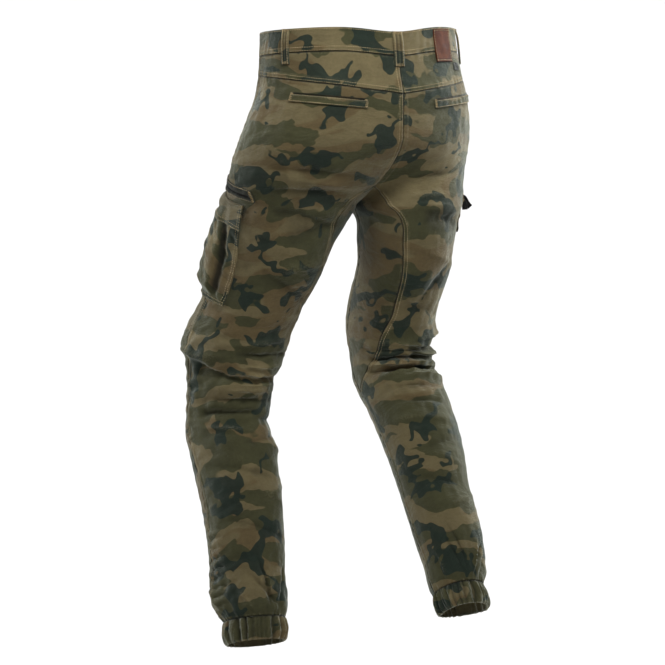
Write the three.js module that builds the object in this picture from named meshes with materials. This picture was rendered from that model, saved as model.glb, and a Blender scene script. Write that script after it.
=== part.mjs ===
// Camouflage motorcycle jeans, filled out as worn and hollow, with cargo pockets, inner-leg gussets and
// elastic cuffs.
// Millimetres, +Z up. The wearer faces -Y and the wearer's left is +X.
// The origin is the centre of the waist opening, in the waistband.
import * as THREE from 'three';

// ---------------------------------------------------------------- driving dimensions
const WALL = 2.0; // cloth wall
const BAND_WALL = 3.0; // doubled cloth of the waistband
const SEAM = 0.3; // gap between two pieces at a seam
const LIFT = 0.6; // clearance under a piece that lies on a panel
const BAND_HALF = 19; // half the waistband's height
const BAND_PROUD = 0.8; // how far the waistband stands out from the panels
const YOKE_SIDE_Z = -52; // yoke seam at the outseam
const YOKE_BACK_Z = -80; // yoke seam at centre back
const WARP_END_Z = -170; // rows are level again below this
const HIP_END_Z = -150; // the halves start to turn into legs here
const CROTCH_Z = -255; // and are whole legs from here down
const CROTCH_ROUND = 1.7; // how late the crotch curve turns in
const OUTSEAM_T = 0.4; // share of the way round from centre front or inseam to the outseam
const GUSSET_TOP_Z = -223.5;
const GUSSET_END_Z = -546;
const LEG_END_Z = { left: -907, right: -862 };
const CUFF_HEIGHT = { left: 37, right: 34 };
const CUFF_WAVES = 17;
const CUFF_WAVE_DEPTH = 1.3;
const STEP = 1e-3; // step of the numerical tangents, as a share of the way round
const STEP_Z = 0.4; // and in millimetres down the leg

const CLOTH = { color: 0x5f5a43, roughness: 0.92, metalness: 0 };
const DARK_CLOTH = { color: 0x3c4437, roughness: 0.92, metalness: 0 };
const LEATHER = { color: 0x5a3a26, roughness: 0.6, metalness: 0 };
const BRASS = { color: 0x8a6d3b, roughness: 0.4, metalness: 1 };
const RIBBON = { color: 0x151515, roughness: 0.8, metalness: 0 };

// ---------------------------------------------------------------- smooth tables
// A track reads its rows by their first column and joins them with smooth curves that don't overshoot.
function track(columns, rows) {
  const keys = rows.map((row) => row[0]);
  const rising = keys[keys.length - 1] > keys[0];
  const slope = (i, c) => {
    if (i === 0 || i === rows.length - 1) {
      return 0;
    }
    const before = (rows[i][c] - rows[i - 1][c]) / (keys[i] - keys[i - 1]);
    const after = (rows[i + 1][c] - rows[i][c]) / (keys[i + 1] - keys[i]);
    return before * after <= 0 ? 0 : (2 * before * after) / (before + after);
  };
  return (key) => {
    const low = rising ? keys[0] : keys[keys.length - 1];
    const high = rising ? keys[keys.length - 1] : keys[0];
    const at = Math.min(high, Math.max(low, key));
    let i = 0;
    while (i < rows.length - 2 && (rising ? at > keys[i + 1] : at < keys[i + 1])) {
      i += 1;
    }
    const span = keys[i + 1] - keys[i];
    const u = (at - keys[i]) / span;
    const found = {};
    columns.forEach((name, c) => {
      const h1 = u * u * (3 - 2 * u);
      const h2 = u * (1 - u) * (1 - u);
      const h3 = u * u * (u - 1);
      const bend = span * (h2 * slope(i, c) + h3 * slope(i + 1, c));
      found[name] = rows[i][c] * (1 - h1) + rows[i + 1][c] * h1 + bend;
    });
    return found;
  };
}

// Half rounds of the pelvis: half width at the side, how far back the side lies, depth in front and behind.
const HIP_COLUMNS = ['z', 'half', 'mid', 'front', 'back'];
const HIP = {
  left: track(HIP_COLUMNS, [
    [30, 168, 0, 110, 110],
    [0, 169, 0, 112, 112],
    [-50, 171, -2, 115, 122],
    [-80, 175, -4, 117, 130],
    [-122, 190, -10, 119, 130],
    [-173, 205, -22, 120, 127],
    [-255, 216, -42, 110, 120],
  ]),
  right: track(HIP_COLUMNS, [
    [30, 164, 0, 110, 110],
    [0, 167, 0, 112, 112],
    [-50, 177, 0, 115, 122],
    [-80, 185, 0, 117, 130],
    [-122, 190, 0, 119, 130],
    [-173, 188, 2, 116, 127],
    [-255, 178, 8, 108, 120],
  ]),
};

// Rounds of a leg: centre, half width, half depth, how far it is turned out, how far the inseam runs
// ahead of the innermost point, and the lean of the round (plus where the leg runs back as it goes down).
const LEG_COLUMNS = ['z', 'x', 'y', 'wide', 'deep', 'turn', 'lead', 'lean'];
const LEG = {
  left: track(LEG_COLUMNS, [
    [-255, 93, -51, 99, 106, 8, -31, 0],
    [-282, 101, -61, 92, 104, 12, -22, -4],
    [-311, 109, -71, 84, 98, 16, -12, -7],
    [-349, 116, -82, 76, 93, 18, -4, -9],
    [-412, 128, -111, 70, 86, 20, 0, -10],
    [-462, 139, -137, 70, 87, 20, 0, -8],
    [-513, 145, -142, 63, 78, 20, 0, -4],
    [-563, 148, -147, 60, 71, 20, 0, 2],
    [-600, 150, -148, 60, 69, 20, 0, 6],
    [-638, 149, -134, 61, 71, 20, 0, 9],
    [-689, 148, -119, 58, 68, 20, 0, 11],
    [-739, 146, -107, 57, 66, 19, 0, 10],
    [-789, 144, -102, 56, 64, 18, 0, 8],
    [-840, 143, -98, 55, 62, 17, 0, 8],
    [-875, 142, -95, 56, 62, 16, 0, 8],
    [-897, 141, -87, 51, 57, 15, 0, 8],
    [-907, 141, -83, 46, 52, 15, 0, 8],
    [-925, 141, -81, 47, 53, 15, 0, 8],
    [-950, 141, -79, 44, 50, 15, 0, 8],
  ]),
  right: track(LEG_COLUMNS, [
    [-255, 85, 6, 86, 104, 14, -2, 0],
    [-282, 88.5, 4, 78, 100, 17, 0, -3],
    [-311, 91.5, -6, 75, 97, 20, 0, -6],
    [-349, 95, -17, 71, 92, 20, 0, -9],
    [-412, 100, -53, 69, 88, 20, 0, -9],
    [-462, 104, -72, 66, 84, 20, 0, -6],
    [-513, 110, -70, 64, 79, 20, 0, 8],
    [-538, 111, -55, 64, 77, 20, 0, 15],
    [-563, 112, -34, 63, 73, 20, 0, 19],
    [-613, 115, -1, 61, 70, 20, 0, 23],
    [-664, 119, 21, 57, 68, 20, 0, 24],
    [-714, 120, 41, 53, 64, 20, 0, 25],
    [-764, 122, 66, 53, 62, 18, 0, 25],
    [-814, 125, 86, 49, 58, 16, 0, 24],
    [-845, 127, 91, 46, 54, 15, 0, 23],
    [-862, 127, 94, 40, 47, 15, 0, 22],
    [-880, 128, 100, 41, 47, 15, 0, 22],
    [-905, 129, 109, 39, 45, 15, 0, 22],
  ]),
};

// Edge of the back panel along the gusset, as a share of the way round; 1 is centre back or the inseam.
const GUSSET_EDGE = track(['z', 't'], [
  [-223.5, 0.994],
  [-235, 0.95],
  [-250, 0.885],
  [-275, 0.825],
  [-320, 0.8],
  [-410, 0.795],
  [-445, 0.815],
  [-475, 0.84],
  [-500, 0.87],
  [-520, 0.91],
  [-546, 0.992],
]);

// Largest folds and bulges: from (t, z) to (toT, toZ), half width, and height (minus is a trough).
const FOLD_COLUMNS = ['t', 'z', 'toT', 'toZ', 'half', 'height'];
const FOLDS = {
  left: [
    [0.3, -478, 0.52, -500, 20, 5],
    [0.42, -500, 0.62, -528, 13, -6],
    [0.62, -528, 0.9, -522, 12, -6],
    [0.5, -545, 0.8, -548, 16, 4],
    [0.44, -580, 0.74, -588, 13, -5],
    [0.7, -600, 0.92, -594, 13, -4],
    [0.74, -640, 0.96, -655, 18, 4],
    [0.05, -505, 0.32, -530, 18, -5],
    [0.08, -560, 0.36, -585, 16, -4],
    [0.55, -345, 0.9, -420, 26, -4],
    [0.6, -840, 0.78, -900, 12, -4],
    [0.94, -850, 0.84, -900, 10, -4],
    [0.36, -838, 0.46, -898, 14, 3],
    [0.55, -262, 0.85, -284, 22, -4],
    [0.6, -700, 0.85, -745, 22, 3],
  ],
  right: [
    [0.53, -494, 0.92, -503, 11, -8],
    [0.55, -523, 0.93, -524, 10, -8],
    [0.44, -444, 0.72, -458, 14, 6],
    [0.46, -471, 0.72, -476, 9, -5],
    [0.45, -485, 0.66, -490, 8, 5],
    [0.55, -509, 0.9, -513, 7, 4],
    [0.54, -540, 0.84, -545, 13, 5],
    [0.6, -590, 0.88, -575, 14, -4],
    [0.06, -500, 0.34, -520, 18, -5],
    [0.08, -560, 0.36, -575, 16, -4],
    [0.58, -330, 0.72, -400, 24, -4],
    [0.56, -800, 0.66, -858, 12, -4],
    [0.84, -790, 0.76, -856, 11, -4],
    [0.62, -690, 0.86, -660, 20, 3],
    [0.55, -268, 0.78, -280, 20, -4],
  ],
};
const ROUND_LENGTH = 460; // typical way round one half or leg, to measure folds in millimetres

// ---------------------------------------------------------------- the cloth's outer face
const degrees = (angle) => (angle * Math.PI) / 180;

function hipPoint(side, t, z) {
  const ring = HIP[side](z);
  const ahead = Math.cos(Math.PI * t);
  const depth = ahead > 0 ? ring.front + ring.mid : ring.back - ring.mid;
  return new THREE.Vector3(ring.half * Math.sin(Math.PI * t), ring.mid - depth * ahead, z);
}

function legPoint(side, t, z) {
  const ring = LEG[side](z);
  const angle = 2 * Math.PI * t + degrees(ring.lead) * Math.cos(Math.PI * t) ** 2;
  const out = -ring.wide * Math.cos(angle);
  const ahead = ring.deep * Math.sin(angle);
  const turn = degrees(ring.turn);
  const x = out * Math.cos(turn) + ahead * Math.sin(turn);
  const y = out * Math.sin(turn) - ahead * Math.cos(turn);
  const lean = degrees(ring.lean);
  return new THREE.Vector3(ring.x + x, ring.y + y * Math.cos(lean), z + y * Math.sin(lean));
}

// Distance from (t, z) to a fold's line, and how far along it that is, in millimetres and as a share.
function fromFold(fold, t, z) {
  const along = new THREE.Vector2((fold.toT - fold.t) * ROUND_LENGTH, fold.toZ - fold.z);
  const away = new THREE.Vector2((t - fold.t) * ROUND_LENGTH, z - fold.z);
  const share = THREE.MathUtils.clamp(away.dot(along) / along.lengthSq(), 0, 1);
  return { distance: away.addScaledVector(along, -share).length(), share };
}

function foldHeight(side, t, z) {
  let height = 0;
  for (const row of FOLDS[side]) {
    const fold = Object.fromEntries(FOLD_COLUMNS.map((name, c) => [name, row[c]]));
    const { distance, share } = fromFold(fold, t, z);
    const taper = 0.25 + 0.75 * Math.sin(Math.PI * Math.min(1, Math.max(0, share)));
    height += fold.height * taper * Math.exp(-((distance / fold.half) ** 2));
  }
  return height;
}

// Unfolded outer face of the wearer's left half; the right half uses its own tables and is mirrored later.
function plainPoint(side, t, z) {
  const hip = z > CROTCH_Z ? hipPoint(side, t, z) : null;
  const leg = z < HIP_END_Z ? legPoint(side, t, Math.min(z, CROTCH_Z)) : null;
  let point = hip ?? leg;
  if (hip && leg) {
    leg.z = z;
    const share = ((HIP_END_Z - z) / (HIP_END_Z - CROTCH_Z)) ** CROTCH_ROUND;
    point = hip.lerp(leg, share);
  }
  point.x = Math.max(point.x, 0) + SEAM / 2;
  return point;
}

// The crotch's lowest row faces the way the legs do, so the walls of its four panels don't cross.
function normalOf(surface, t, z) {
  const round = surface(t + STEP, z).sub(surface(t - STEP, z));
  const above = z <= CROTCH_Z ? Math.min(z + STEP_Z, CROTCH_Z) : z + STEP_Z;
  const down = surface(t, z - STEP_Z).sub(surface(t, above));
  return down.cross(round).normalize();
}

// Folds fade out at the centre and inseam edges, so both sides of a seam meet.
function skin(side, t, z) {
  const plain = (a, b) => plainPoint(side, a, b);
  const edge = Math.sin(Math.PI * THREE.MathUtils.clamp(t, 0, 1)) ** 0.5;
  return plainPoint(side, t, z).addScaledVector(normalOf(plain, t, z), foldHeight(side, t, z) * edge);
}

// Point at a height above (or depth below) the cloth's outer face.
function raised(side, t, z, height) {
  const surface = (a, b) => skin(side, a, b);
  return skin(side, t, z).addScaledVector(normalOf(surface, t, z), height);
}

// ---------------------------------------------------------------- closed walls
// A wall between two grids of points. Columns run round the body, rows run down; ring joins its ends.
function wallGeometry(outer, inner, { ring = false, mirrored = false } = {}) {
  const rows = outer.length;
  const columns = outer[0].length;
  const positions = [];
  for (const grid of [outer, inner]) {
    for (const row of grid) {
      for (const point of row) {
        positions.push(mirrored ? -point.x : point.x, point.y, point.z);
      }
    }
  }
  const index = [];
  const id = (layer, row, column) => (layer * rows + row) * columns + (column % columns);
  const face = (a, b, c, d) => {
    const quad = [a, b, c, a, c, d];
    index.push(...(mirrored ? quad.reverse() : quad));
  };
  const last = ring ? columns : columns - 1;
  for (let r = 0; r < rows - 1; r += 1) {
    for (let c = 0; c < last; c += 1) {
      face(id(0, r, c), id(0, r + 1, c), id(0, r + 1, c + 1), id(0, r, c + 1));
      face(id(1, r, c), id(1, r, c + 1), id(1, r + 1, c + 1), id(1, r + 1, c));
    }
  }
  for (let c = 0; c < last; c += 1) {
    face(id(0, 0, c), id(0, 0, c + 1), id(1, 0, c + 1), id(1, 0, c));
    face(id(0, rows - 1, c), id(1, rows - 1, c), id(1, rows - 1, c + 1), id(0, rows - 1, c + 1));
  }
  if (!ring) {
    for (let r = 0; r < rows - 1; r += 1) {
      face(id(0, r, 0), id(1, r, 0), id(1, r + 1, 0), id(0, r + 1, 0));
      face(id(0, r, last), id(0, r + 1, last), id(1, r + 1, last), id(1, r, last));
    }
  }
  const geometry = new THREE.BufferGeometry();
  geometry.setAttribute('position', new THREE.Float32BufferAttribute(positions, 3));
  geometry.setIndex(index);
  geometry.computeVertexNormals();
  return geometry;
}

const jeans = new THREE.Group();

function add(name, geometry, finish) {
  const mesh = new THREE.Mesh(geometry, new THREE.MeshStandardMaterial({ ...finish }));
  mesh.name = name;
  jeans.add(mesh);
}

function spread(from, to, count) {
  return Array.from({ length: count }, (_, i) => from + ((to - from) * i) / (count - 1));
}

// ---------------------------------------------------------------- leg panels
// Rows down the panels, closer together at the seams, crotch and knees.
const CREASED_ROWS = {
  left: [-223.5, -236, -255, -276, -304, -336, -372, -408, -440, -464, -482, -495, -507, -518, -528,
    -539, -546, -560, -575, -588, -604, -634, -668, -704, -742, -780, -816, -848, -874, -892, -907],
  right: [-223.5, -236, -255, -276, -304, -336, -372, -408, -434, -450, -464, -476, -488, -498, -506,
    -514, -522, -531, -546, -562, -580, -602, -634, -668, -704, -740, -774, -806, -830, -848, -862],
};
const UPPER_ROWS = [-68, -88, -112, -138, -162, -184, -204];
const FRONT_TOP_ROWS = [-BAND_HALF - SEAM, -34, YOKE_SIDE_Z];

// The waistband's edges run down to the front, and dip a little at centre back.
const BAND_SLOPE = 8.5;
const BACK_DIP = { depth: 9.5, width: 0.12 };

function bandDrop(t) {
  return BAND_SLOPE * Math.cos(Math.PI * t) + BACK_DIP.depth * Math.exp(-(((1 - t) / BACK_DIP.width) ** 2));
}

const YOKE_CURVE = 1.6; // how late the yoke seam turns down to its point

function yokeDrop(t) {
  const share = THREE.MathUtils.clamp((t - OUTSEAM_T) / (1 - OUTSEAM_T), 0, 1);
  return (YOKE_SIDE_Z - YOKE_BACK_Z) * share ** YOKE_CURVE;
}

// Height of a row where it crosses t: the top rows follow the waistband, the next ones the yoke seam.
function rowHeight(row, t) {
  const band = THREE.MathUtils.clamp((YOKE_SIDE_Z - row) / (YOKE_SIDE_Z + BAND_HALF), 0, 1);
  const yoke = THREE.MathUtils.clamp((row - WARP_END_Z) / (YOKE_SIDE_Z - WARP_END_Z), 0, 1);
  const belowYoke = row <= YOKE_SIDE_Z;
  const drop = yokeDrop(t) * (belowYoke ? yoke : 1 - band);
  return row - drop - (belowYoke ? 0 : bandDrop(t) * band);
}

// Half a seam's gap, as a share of the way round.
function seamShare(side, t, z) {
  const length = skin(side, t + STEP, z).distanceTo(skin(side, t - STEP, z)) / (2 * STEP);
  return SEAM / 2 / length;
}

// A panel between two edges, each a share of the way round at a given height.
function panel(name, side, rows, from, to, columns, finish = CLOTH) {
  const outer = [];
  const inner = [];
  for (const row of rows) {
    const across = spread(0, 1, columns).map((share) => {
      const near = THREE.MathUtils.lerp(from(row), to(row), share);
      const z = rowHeight(row, near);
      const first = from(z) + seamShare(side, from(z), z);
      const last = to(z) - seamShare(side, to(z), z);
      return { t: THREE.MathUtils.lerp(first, last, share), z };
    });
    outer.push(across.map(({ t, z }) => raised(side, t, z, 0)));
    inner.push(across.map(({ t, z }) => raised(side, t, z, -WALL)));
  }
  add(name, wallGeometry(outer, inner, { mirrored: side === 'right' }), finish);
}

const always = (value) => () => value;
const inGusset = (z) => z < GUSSET_TOP_Z && z > GUSSET_END_Z;
const backEdge = (z) => (z <= GUSSET_TOP_Z && z >= GUSSET_END_Z ? GUSSET_EDGE(z).t : 1);

for (const side of ['left', 'right']) {
  const lower = CREASED_ROWS[side];
  const belowYoke = [YOKE_SIDE_Z, ...UPPER_ROWS, ...lower];
  panel(`front_${side}`, side, [...FRONT_TOP_ROWS, ...UPPER_ROWS, ...lower], always(0), always(OUTSEAM_T), 9);
  const yokeRows = [...FRONT_TOP_ROWS.slice(0, 2), YOKE_SIDE_Z + SEAM];
  panel(`back_yoke_${side}`, side, yokeRows, always(OUTSEAM_T), always(1), 11);
  panel(`back_${side}`, side, belowYoke, always(OUTSEAM_T), backEdge, 12);
  const gussetRows = lower.filter((row) => row === GUSSET_TOP_Z || row === GUSSET_END_Z || inGusset(row));
  panel(`gusset_${side}`, side, gussetRows, backEdge, always(1), 4, DARK_CLOTH);
}

// ---------------------------------------------------------------- waistband and cuffs
const BAND_COLUMNS = 20;

// A point of the waistband: way is 0 at centre front, 1 at centre back by the left, 2 at centre front again.
function bandPoint(way, row, height) {
  const side = way <= 1 ? 'left' : 'right';
  const t = way <= 1 ? way : 2 - way;
  const point = raised(side, t, row - bandDrop(t), height);
  const middle = Math.abs(t) < STEP || Math.abs(1 - t) < STEP;
  return point.setX(middle ? 0 : point.x * (side === 'left' ? 1 : -1));
}

const bandWays = spread(0, 2, 2 * BAND_COLUMNS + 1).slice(0, -1);
const bandRows = [BAND_HALF, BAND_HALF / 2, -BAND_HALF / 3, -BAND_HALF];
add('waistband', wallGeometry(
  bandRows.map((row) => bandWays.map((way) => bandPoint(way, row, BAND_PROUD))),
  bandRows.map((row) => bandWays.map((way) => bandPoint(way, row, BAND_PROUD - BAND_WALL))),
  { ring: true },
), CLOTH);

const CUFF_PROFILE = [ // share of the height down, how far it stands out, share of the waves' depth
  [0, -0.6, 0.3],
  [0.25, 0.9, 1],
  [0.8, 0.9, 1],
  [1, -0.4, 0.5],
];
const CUFF_COLUMNS = CUFF_WAVES * 4;

for (const side of ['left', 'right']) {
  const shares = spread(0, 1, CUFF_COLUMNS + 1).slice(0, -1);
  const round = (depth) => CUFF_PROFILE.map(([down, proud, wave]) => shares.map((t) => {
    const z = LEG_END_Z[side] - SEAM - down * CUFF_HEIGHT[side];
    const gather = CUFF_WAVE_DEPTH * wave * Math.cos(2 * Math.PI * CUFF_WAVES * t);
    return raised(side, t, z, proud + gather - depth);
  }));
  add(`cuff_${side}`, wallGeometry(round(0), round(WALL), { ring: true, mirrored: side === 'right' }), CLOTH);
}

// ---------------------------------------------------------------- pieces sewn on the panels
// A piece that lies on a panel: place(across, down) gives its t, z and the height of its underside.
function sewnOn(name, side, columns, rows, thickness, place, finish = CLOTH) {
  const grid = (extra) => rows.map((down) => columns.map((across) => {
    const { t, z, height } = place(across, down);
    return raised(side, t, z, height + extra);
  }));
  add(name, wallGeometry(grid(thickness), grid(0), { mirrored: side === 'right' }), finish);
}

const LOOP_WIDTH = 16;
const LOOP_WALL = 1.8;
const LOOP_PROFILE = track(['down', 'height'], [ // millimetres below the waistband's top edge
  [0, 1.5],
  [4, 1.7],
  [11, 3.2],
  [20, 3.7],
  [30, 3.4],
  [40, 2.6],
  [46, 1.9],
  [51, 1.3],
  [56, LIFT],
]);
const LOOP_ROWS = [0, 4, 11, 20, 30, 40, 46, 51, 56];
const BACK_LOOP_T = 0.607;
const FRONT_LOOP_T = 0.26;
const WAIST_LENGTH = 455; // way round half the waist

function beltLoop(name, side, middle) {
  const half = LOOP_WIDTH / 2 / WAIST_LENGTH;
  sewnOn(name, side, spread(-1, 1, 3), LOOP_ROWS, LOOP_WALL, (across, down) => ({
    t: middle + across * half,
    z: BAND_HALF - down - bandDrop(middle),
    height: LOOP_PROFILE(down).height,
  }));
}

for (const side of ['left', 'right']) {
  beltLoop(`belt_loop_back_${side}`, side, BACK_LOOP_T);
  beltLoop(`belt_loop_front_${side}`, side, FRONT_LOOP_T);
}
{
  const half = LOOP_WIDTH / 2 / WAIST_LENGTH;
  const grid = (extra) => LOOP_ROWS.map((down) => spread(-1, 1, 4).map((across) => {
    const row = BAND_HALF - down;
    return bandPoint(1 + across * half, row, LOOP_PROFILE(down).height + extra);
  }));
  add('belt_loop_centre_back', wallGeometry(grid(LOOP_WALL), grid(0), { mirrored: false }), CLOTH);
}

// Back pocket welts, a little below the yoke seam and parallel to it.
const WELT = { from: 0.633, to: 0.89, below: 28, height: 15, thickness: 1.6 };
// Cargo pocket, flap and zip strip round the outseam; slant is how much lower their back ends are.
const CARGO = { from: 0.27, to: 0.495, top: -228, bottom: -397, slant: -40, hemSlant: -14, rise: 13 };
const FLAP = { from: 0.262, to: 0.502, top: -216, bottom: -255, slant: -40, ramp: 9, clear: 1.2 };
const ZIP = { from: 0.275, to: 0.545, top: -193, bottom: -212, slant: -39, thickness: 1.4 };
// Bellows, as shares across the pocket: a flat border with a raised fold, a gutter, and the wall of the bag.
const BELLOWS = { ridge: 0.14, ridgeHalf: 0.035, ridgeHeight: 2.2, gutter: 0.21, bag: 0.31 };
// The bag's fullness, as shares down the pocket: thin at the mouth, full below, closed at the hem.
const FULLNESS = { mouth: 0.3, full: 0.5, closing: 0.84, closed: 0.97 };

// How far the bellows pocket stands out, from the share across it and the share down it.
function cargoRise(across, down) {
  const { lerp, smoothstep } = THREE.MathUtils;
  const inFrom = Math.min(across, 1 - across);
  const ridge = BELLOWS.ridgeHeight * Math.exp(-(((inFrom - BELLOWS.ridge) / BELLOWS.ridgeHalf) ** 2));
  const bag = CARGO.rise * smoothstep(inFrom, BELLOWS.gutter, BELLOWS.bag);
  const top = lerp(FULLNESS.mouth, 1, smoothstep(down, 0, FULLNESS.full));
  const hem = 1 - smoothstep(down, FULLNESS.closing, FULLNESS.closed);
  return (ridge + bag) * top * hem;
}

// Clearance under the pocket, whose facets differ from the panel's, most near the crotch at its front.
const POCKET_LIFT = { front: 2.3, middle: 1.4, middleFrom: 0.35, backBorder: 0.89 };

function pocketLift(across) {
  const { lerp, smoothstep } = THREE.MathUtils;
  const front = lerp(POCKET_LIFT.front, POCKET_LIFT.middle, smoothstep(across, 0, POCKET_LIFT.middleFrom));
  return lerp(front, LIFT, smoothstep(across, POCKET_LIFT.backBorder, 1));
}

const between = (low, high, value) => (value - low) / (high - low);

for (const side of ['left', 'right']) {
  sewnOn(`back_pocket_welt_${side}`, side, spread(0, 1, 9), [0, 1], WELT.thickness, (across, down) => {
    const t = THREE.MathUtils.lerp(WELT.from, WELT.to, across);
    const z = rowHeight(YOKE_SIDE_Z - WELT.below, t) + WELT.height * (0.5 - down);
    return { t, z, height: LIFT };
  });
  const toBag = [0, 0.09, 0.14, 0.19, 0.23, 0.27, 0.31, 0.42];
  const pocketColumns = [...toBag, ...toBag.map((share) => 1 - share).reverse()];
  const pocketRows = [0, 0.1, 0.22, 0.34, 0.45, 0.6, 0.72, 0.84, 0.89, 0.93, 0.97, 1];
  sewnOn(`cargo_pocket_${side}`, side, pocketColumns, pocketRows, WALL, (across, down) => {
    const { lerp } = THREE.MathUtils;
    const slant = lerp(CARGO.slant, CARGO.hemSlant, down);
    return {
      t: lerp(CARGO.from, CARGO.to, across),
      z: lerp(CARGO.top, CARGO.bottom, down) + slant * across,
      height: pocketLift(across) + cargoRise(across, down),
    };
  });
  const onFlap = (share) => between(FLAP.from, FLAP.to, THREE.MathUtils.lerp(CARGO.from, CARGO.to, share));
  const flapColumns = [0, ...pocketColumns.map(onFlap), 1];
  sewnOn(`cargo_flap_${side}`, side, flapColumns, [0, 0.12, 0.25, 0.45, 0.7, 1], WALL, (across, down) => {
    const t = THREE.MathUtils.lerp(FLAP.from, FLAP.to, across);
    const z = THREE.MathUtils.lerp(FLAP.top, FLAP.bottom, down) + FLAP.slant * across;
    const pocketAcross = THREE.MathUtils.clamp(between(CARGO.from, CARGO.to, t), 0, 1);
    const pocketTop = CARGO.top + CARGO.slant * pocketAcross;
    const pocketHem = CARGO.bottom + CARGO.hemSlant * pocketAcross;
    const pocketDown = THREE.MathUtils.clamp(between(pocketTop, pocketHem, z), 0, 1);
    const ramp = THREE.MathUtils.smoothstep((FLAP.top - FLAP.bottom) * down, 0, FLAP.ramp);
    const over = cargoRise(pocketAcross, pocketDown);
    return { t, z, height: pocketLift(pocketAcross) + (WALL + FLAP.clear + over) * ramp };
  });
  sewnOn(`cargo_zip_${side}`, side, spread(0, 1, 15), [0, 1], ZIP.thickness, (across, down) => ({
    t: THREE.MathUtils.lerp(ZIP.from, ZIP.to, across),
    z: THREE.MathUtils.lerp(ZIP.top, ZIP.bottom, down) + ZIP.slant * across,
    height: LIFT,
  }), DARK_CLOTH);
}

const PATCH = { from: 0.755, to: 0.85, top: 16, height: 52, thickness: 1.5 };
sewnOn('leather_patch', 'right', spread(0, 1, 5), spread(0, 1, 4), PATCH.thickness, (across, down) => {
  const t = THREE.MathUtils.lerp(PATCH.from, PATCH.to, across);
  return { t, z: PATCH.top - PATCH.height * down - bandDrop(t), height: BAND_PROUD + LIFT };
}, LEATHER);

const TAB = { from: 0.705, to: 0.745, top: -31, height: 12, thickness: 1.2 };
sewnOn('loop_tab', 'right', spread(0, 1, 3), [0, 1], TAB.thickness, (across, down) => ({
  t: THREE.MathUtils.lerp(TAB.from, TAB.to, across),
  z: TAB.top - TAB.height * down,
  height: LIFT,
}), DARK_CLOTH);

const FLY = { from: 0.004, to: 0.075, top: -32, bottom: -160, thickness: 1.4, endLift: 1.4 };
const FLY_CURVE = { from: 0.7, by: 0.85 }; // where its front edge turns in, and by what share of its width
sewnOn('fly_flap', 'left', spread(0, 1, 4), spread(0, 1, 9), FLY.thickness, (across, down) => {
  const corner = 1 - FLY_CURVE.by * THREE.MathUtils.smoothstep(down, FLY_CURVE.from, 1);
  return {
    t: THREE.MathUtils.lerp(FLY.from, FLY.to, across * corner),
    z: THREE.MathUtils.lerp(FLY.top, FLY.bottom, down),
    height: THREE.MathUtils.lerp(LIFT, FLY.endLift, down),
  };
});

// Shank button of the waistband, turned about the Y axis.
const BUTTON = { radius: 8.5, thickness: 2.6, shank: 3.2 };
{
  const outline = [
    [0, 0],
    [BUTTON.shank, 0],
    [BUTTON.shank, 1],
    [BUTTON.radius - 0.6, 1.2],
    [BUTTON.radius, 2],
    [BUTTON.radius - 0.6, BUTTON.thickness],
    [BUTTON.radius - 2.2, BUTTON.thickness - 0.5],
    [0, BUTTON.thickness + 0.4],
  ].map(([radius, up]) => new THREE.Vector2(radius, up));
  const geometry = new THREE.LatheGeometry(outline, 20);
  geometry.rotateX(Math.PI);
  geometry.translate(0, bandPoint(0, 0, BAND_PROUD).y - SEAM, -bandDrop(0));
  add('waist_button', geometry, BRASS);
}

// Folded ribbon on the zip's back end: an upturned V that stands out from the thigh.
const PULL = { t: 0.541, z: -240, ribbon: 9, seat: 2.4, thickness: 1.6, length: 22, inner: 7.6, outer: 16 };
{
  const surface = (a, b) => skin('right', a, b);
  const mirror = new THREE.Vector3(-1, 1, 1);
  const foot = surface(PULL.t, PULL.z).multiply(mirror);
  const out = normalOf(surface, PULL.t, PULL.z).multiply(mirror);
  const up = new THREE.Vector3(0, 0, 1);
  const along = new THREE.Vector3().crossVectors(out, up).normalize();
  const rise = new THREE.Vector3().crossVectors(along, out);
  const apex = 0.8;
  const crotch = 0.25; // where the prongs part, as a share of the length
  const outerEnd = 0.7;
  const outerTip = 0.76;
  const outline = [
    [PULL.seat, 0],
    [PULL.seat + PULL.thickness, apex],
    [PULL.outer + PULL.thickness, -PULL.length * outerEnd],
    [PULL.outer, -PULL.length * outerTip],
    [PULL.seat + 2 * PULL.thickness, -PULL.length * crotch],
    [PULL.inner + PULL.thickness, -PULL.length],
    [PULL.inner, -PULL.length],
  ].map(([x, y]) => new THREE.Vector2(x, y));
  const extrusion = { depth: PULL.ribbon, bevelEnabled: false };
  const geometry = new THREE.ExtrudeGeometry(new THREE.Shape(outline), extrusion);
  geometry.translate(0, 0, -PULL.ribbon / 2);
  geometry.applyMatrix4(new THREE.Matrix4().makeBasis(out, rise, along));
  geometry.translate(foot.x, foot.y, foot.z);
  add('zip_pull_right', geometry, RIBBON);
}

export default jeans;
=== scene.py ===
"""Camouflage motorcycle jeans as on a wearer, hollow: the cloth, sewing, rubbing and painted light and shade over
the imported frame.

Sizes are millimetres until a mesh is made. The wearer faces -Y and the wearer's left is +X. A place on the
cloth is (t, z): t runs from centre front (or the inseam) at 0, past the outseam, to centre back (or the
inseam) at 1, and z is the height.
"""
import math

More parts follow.
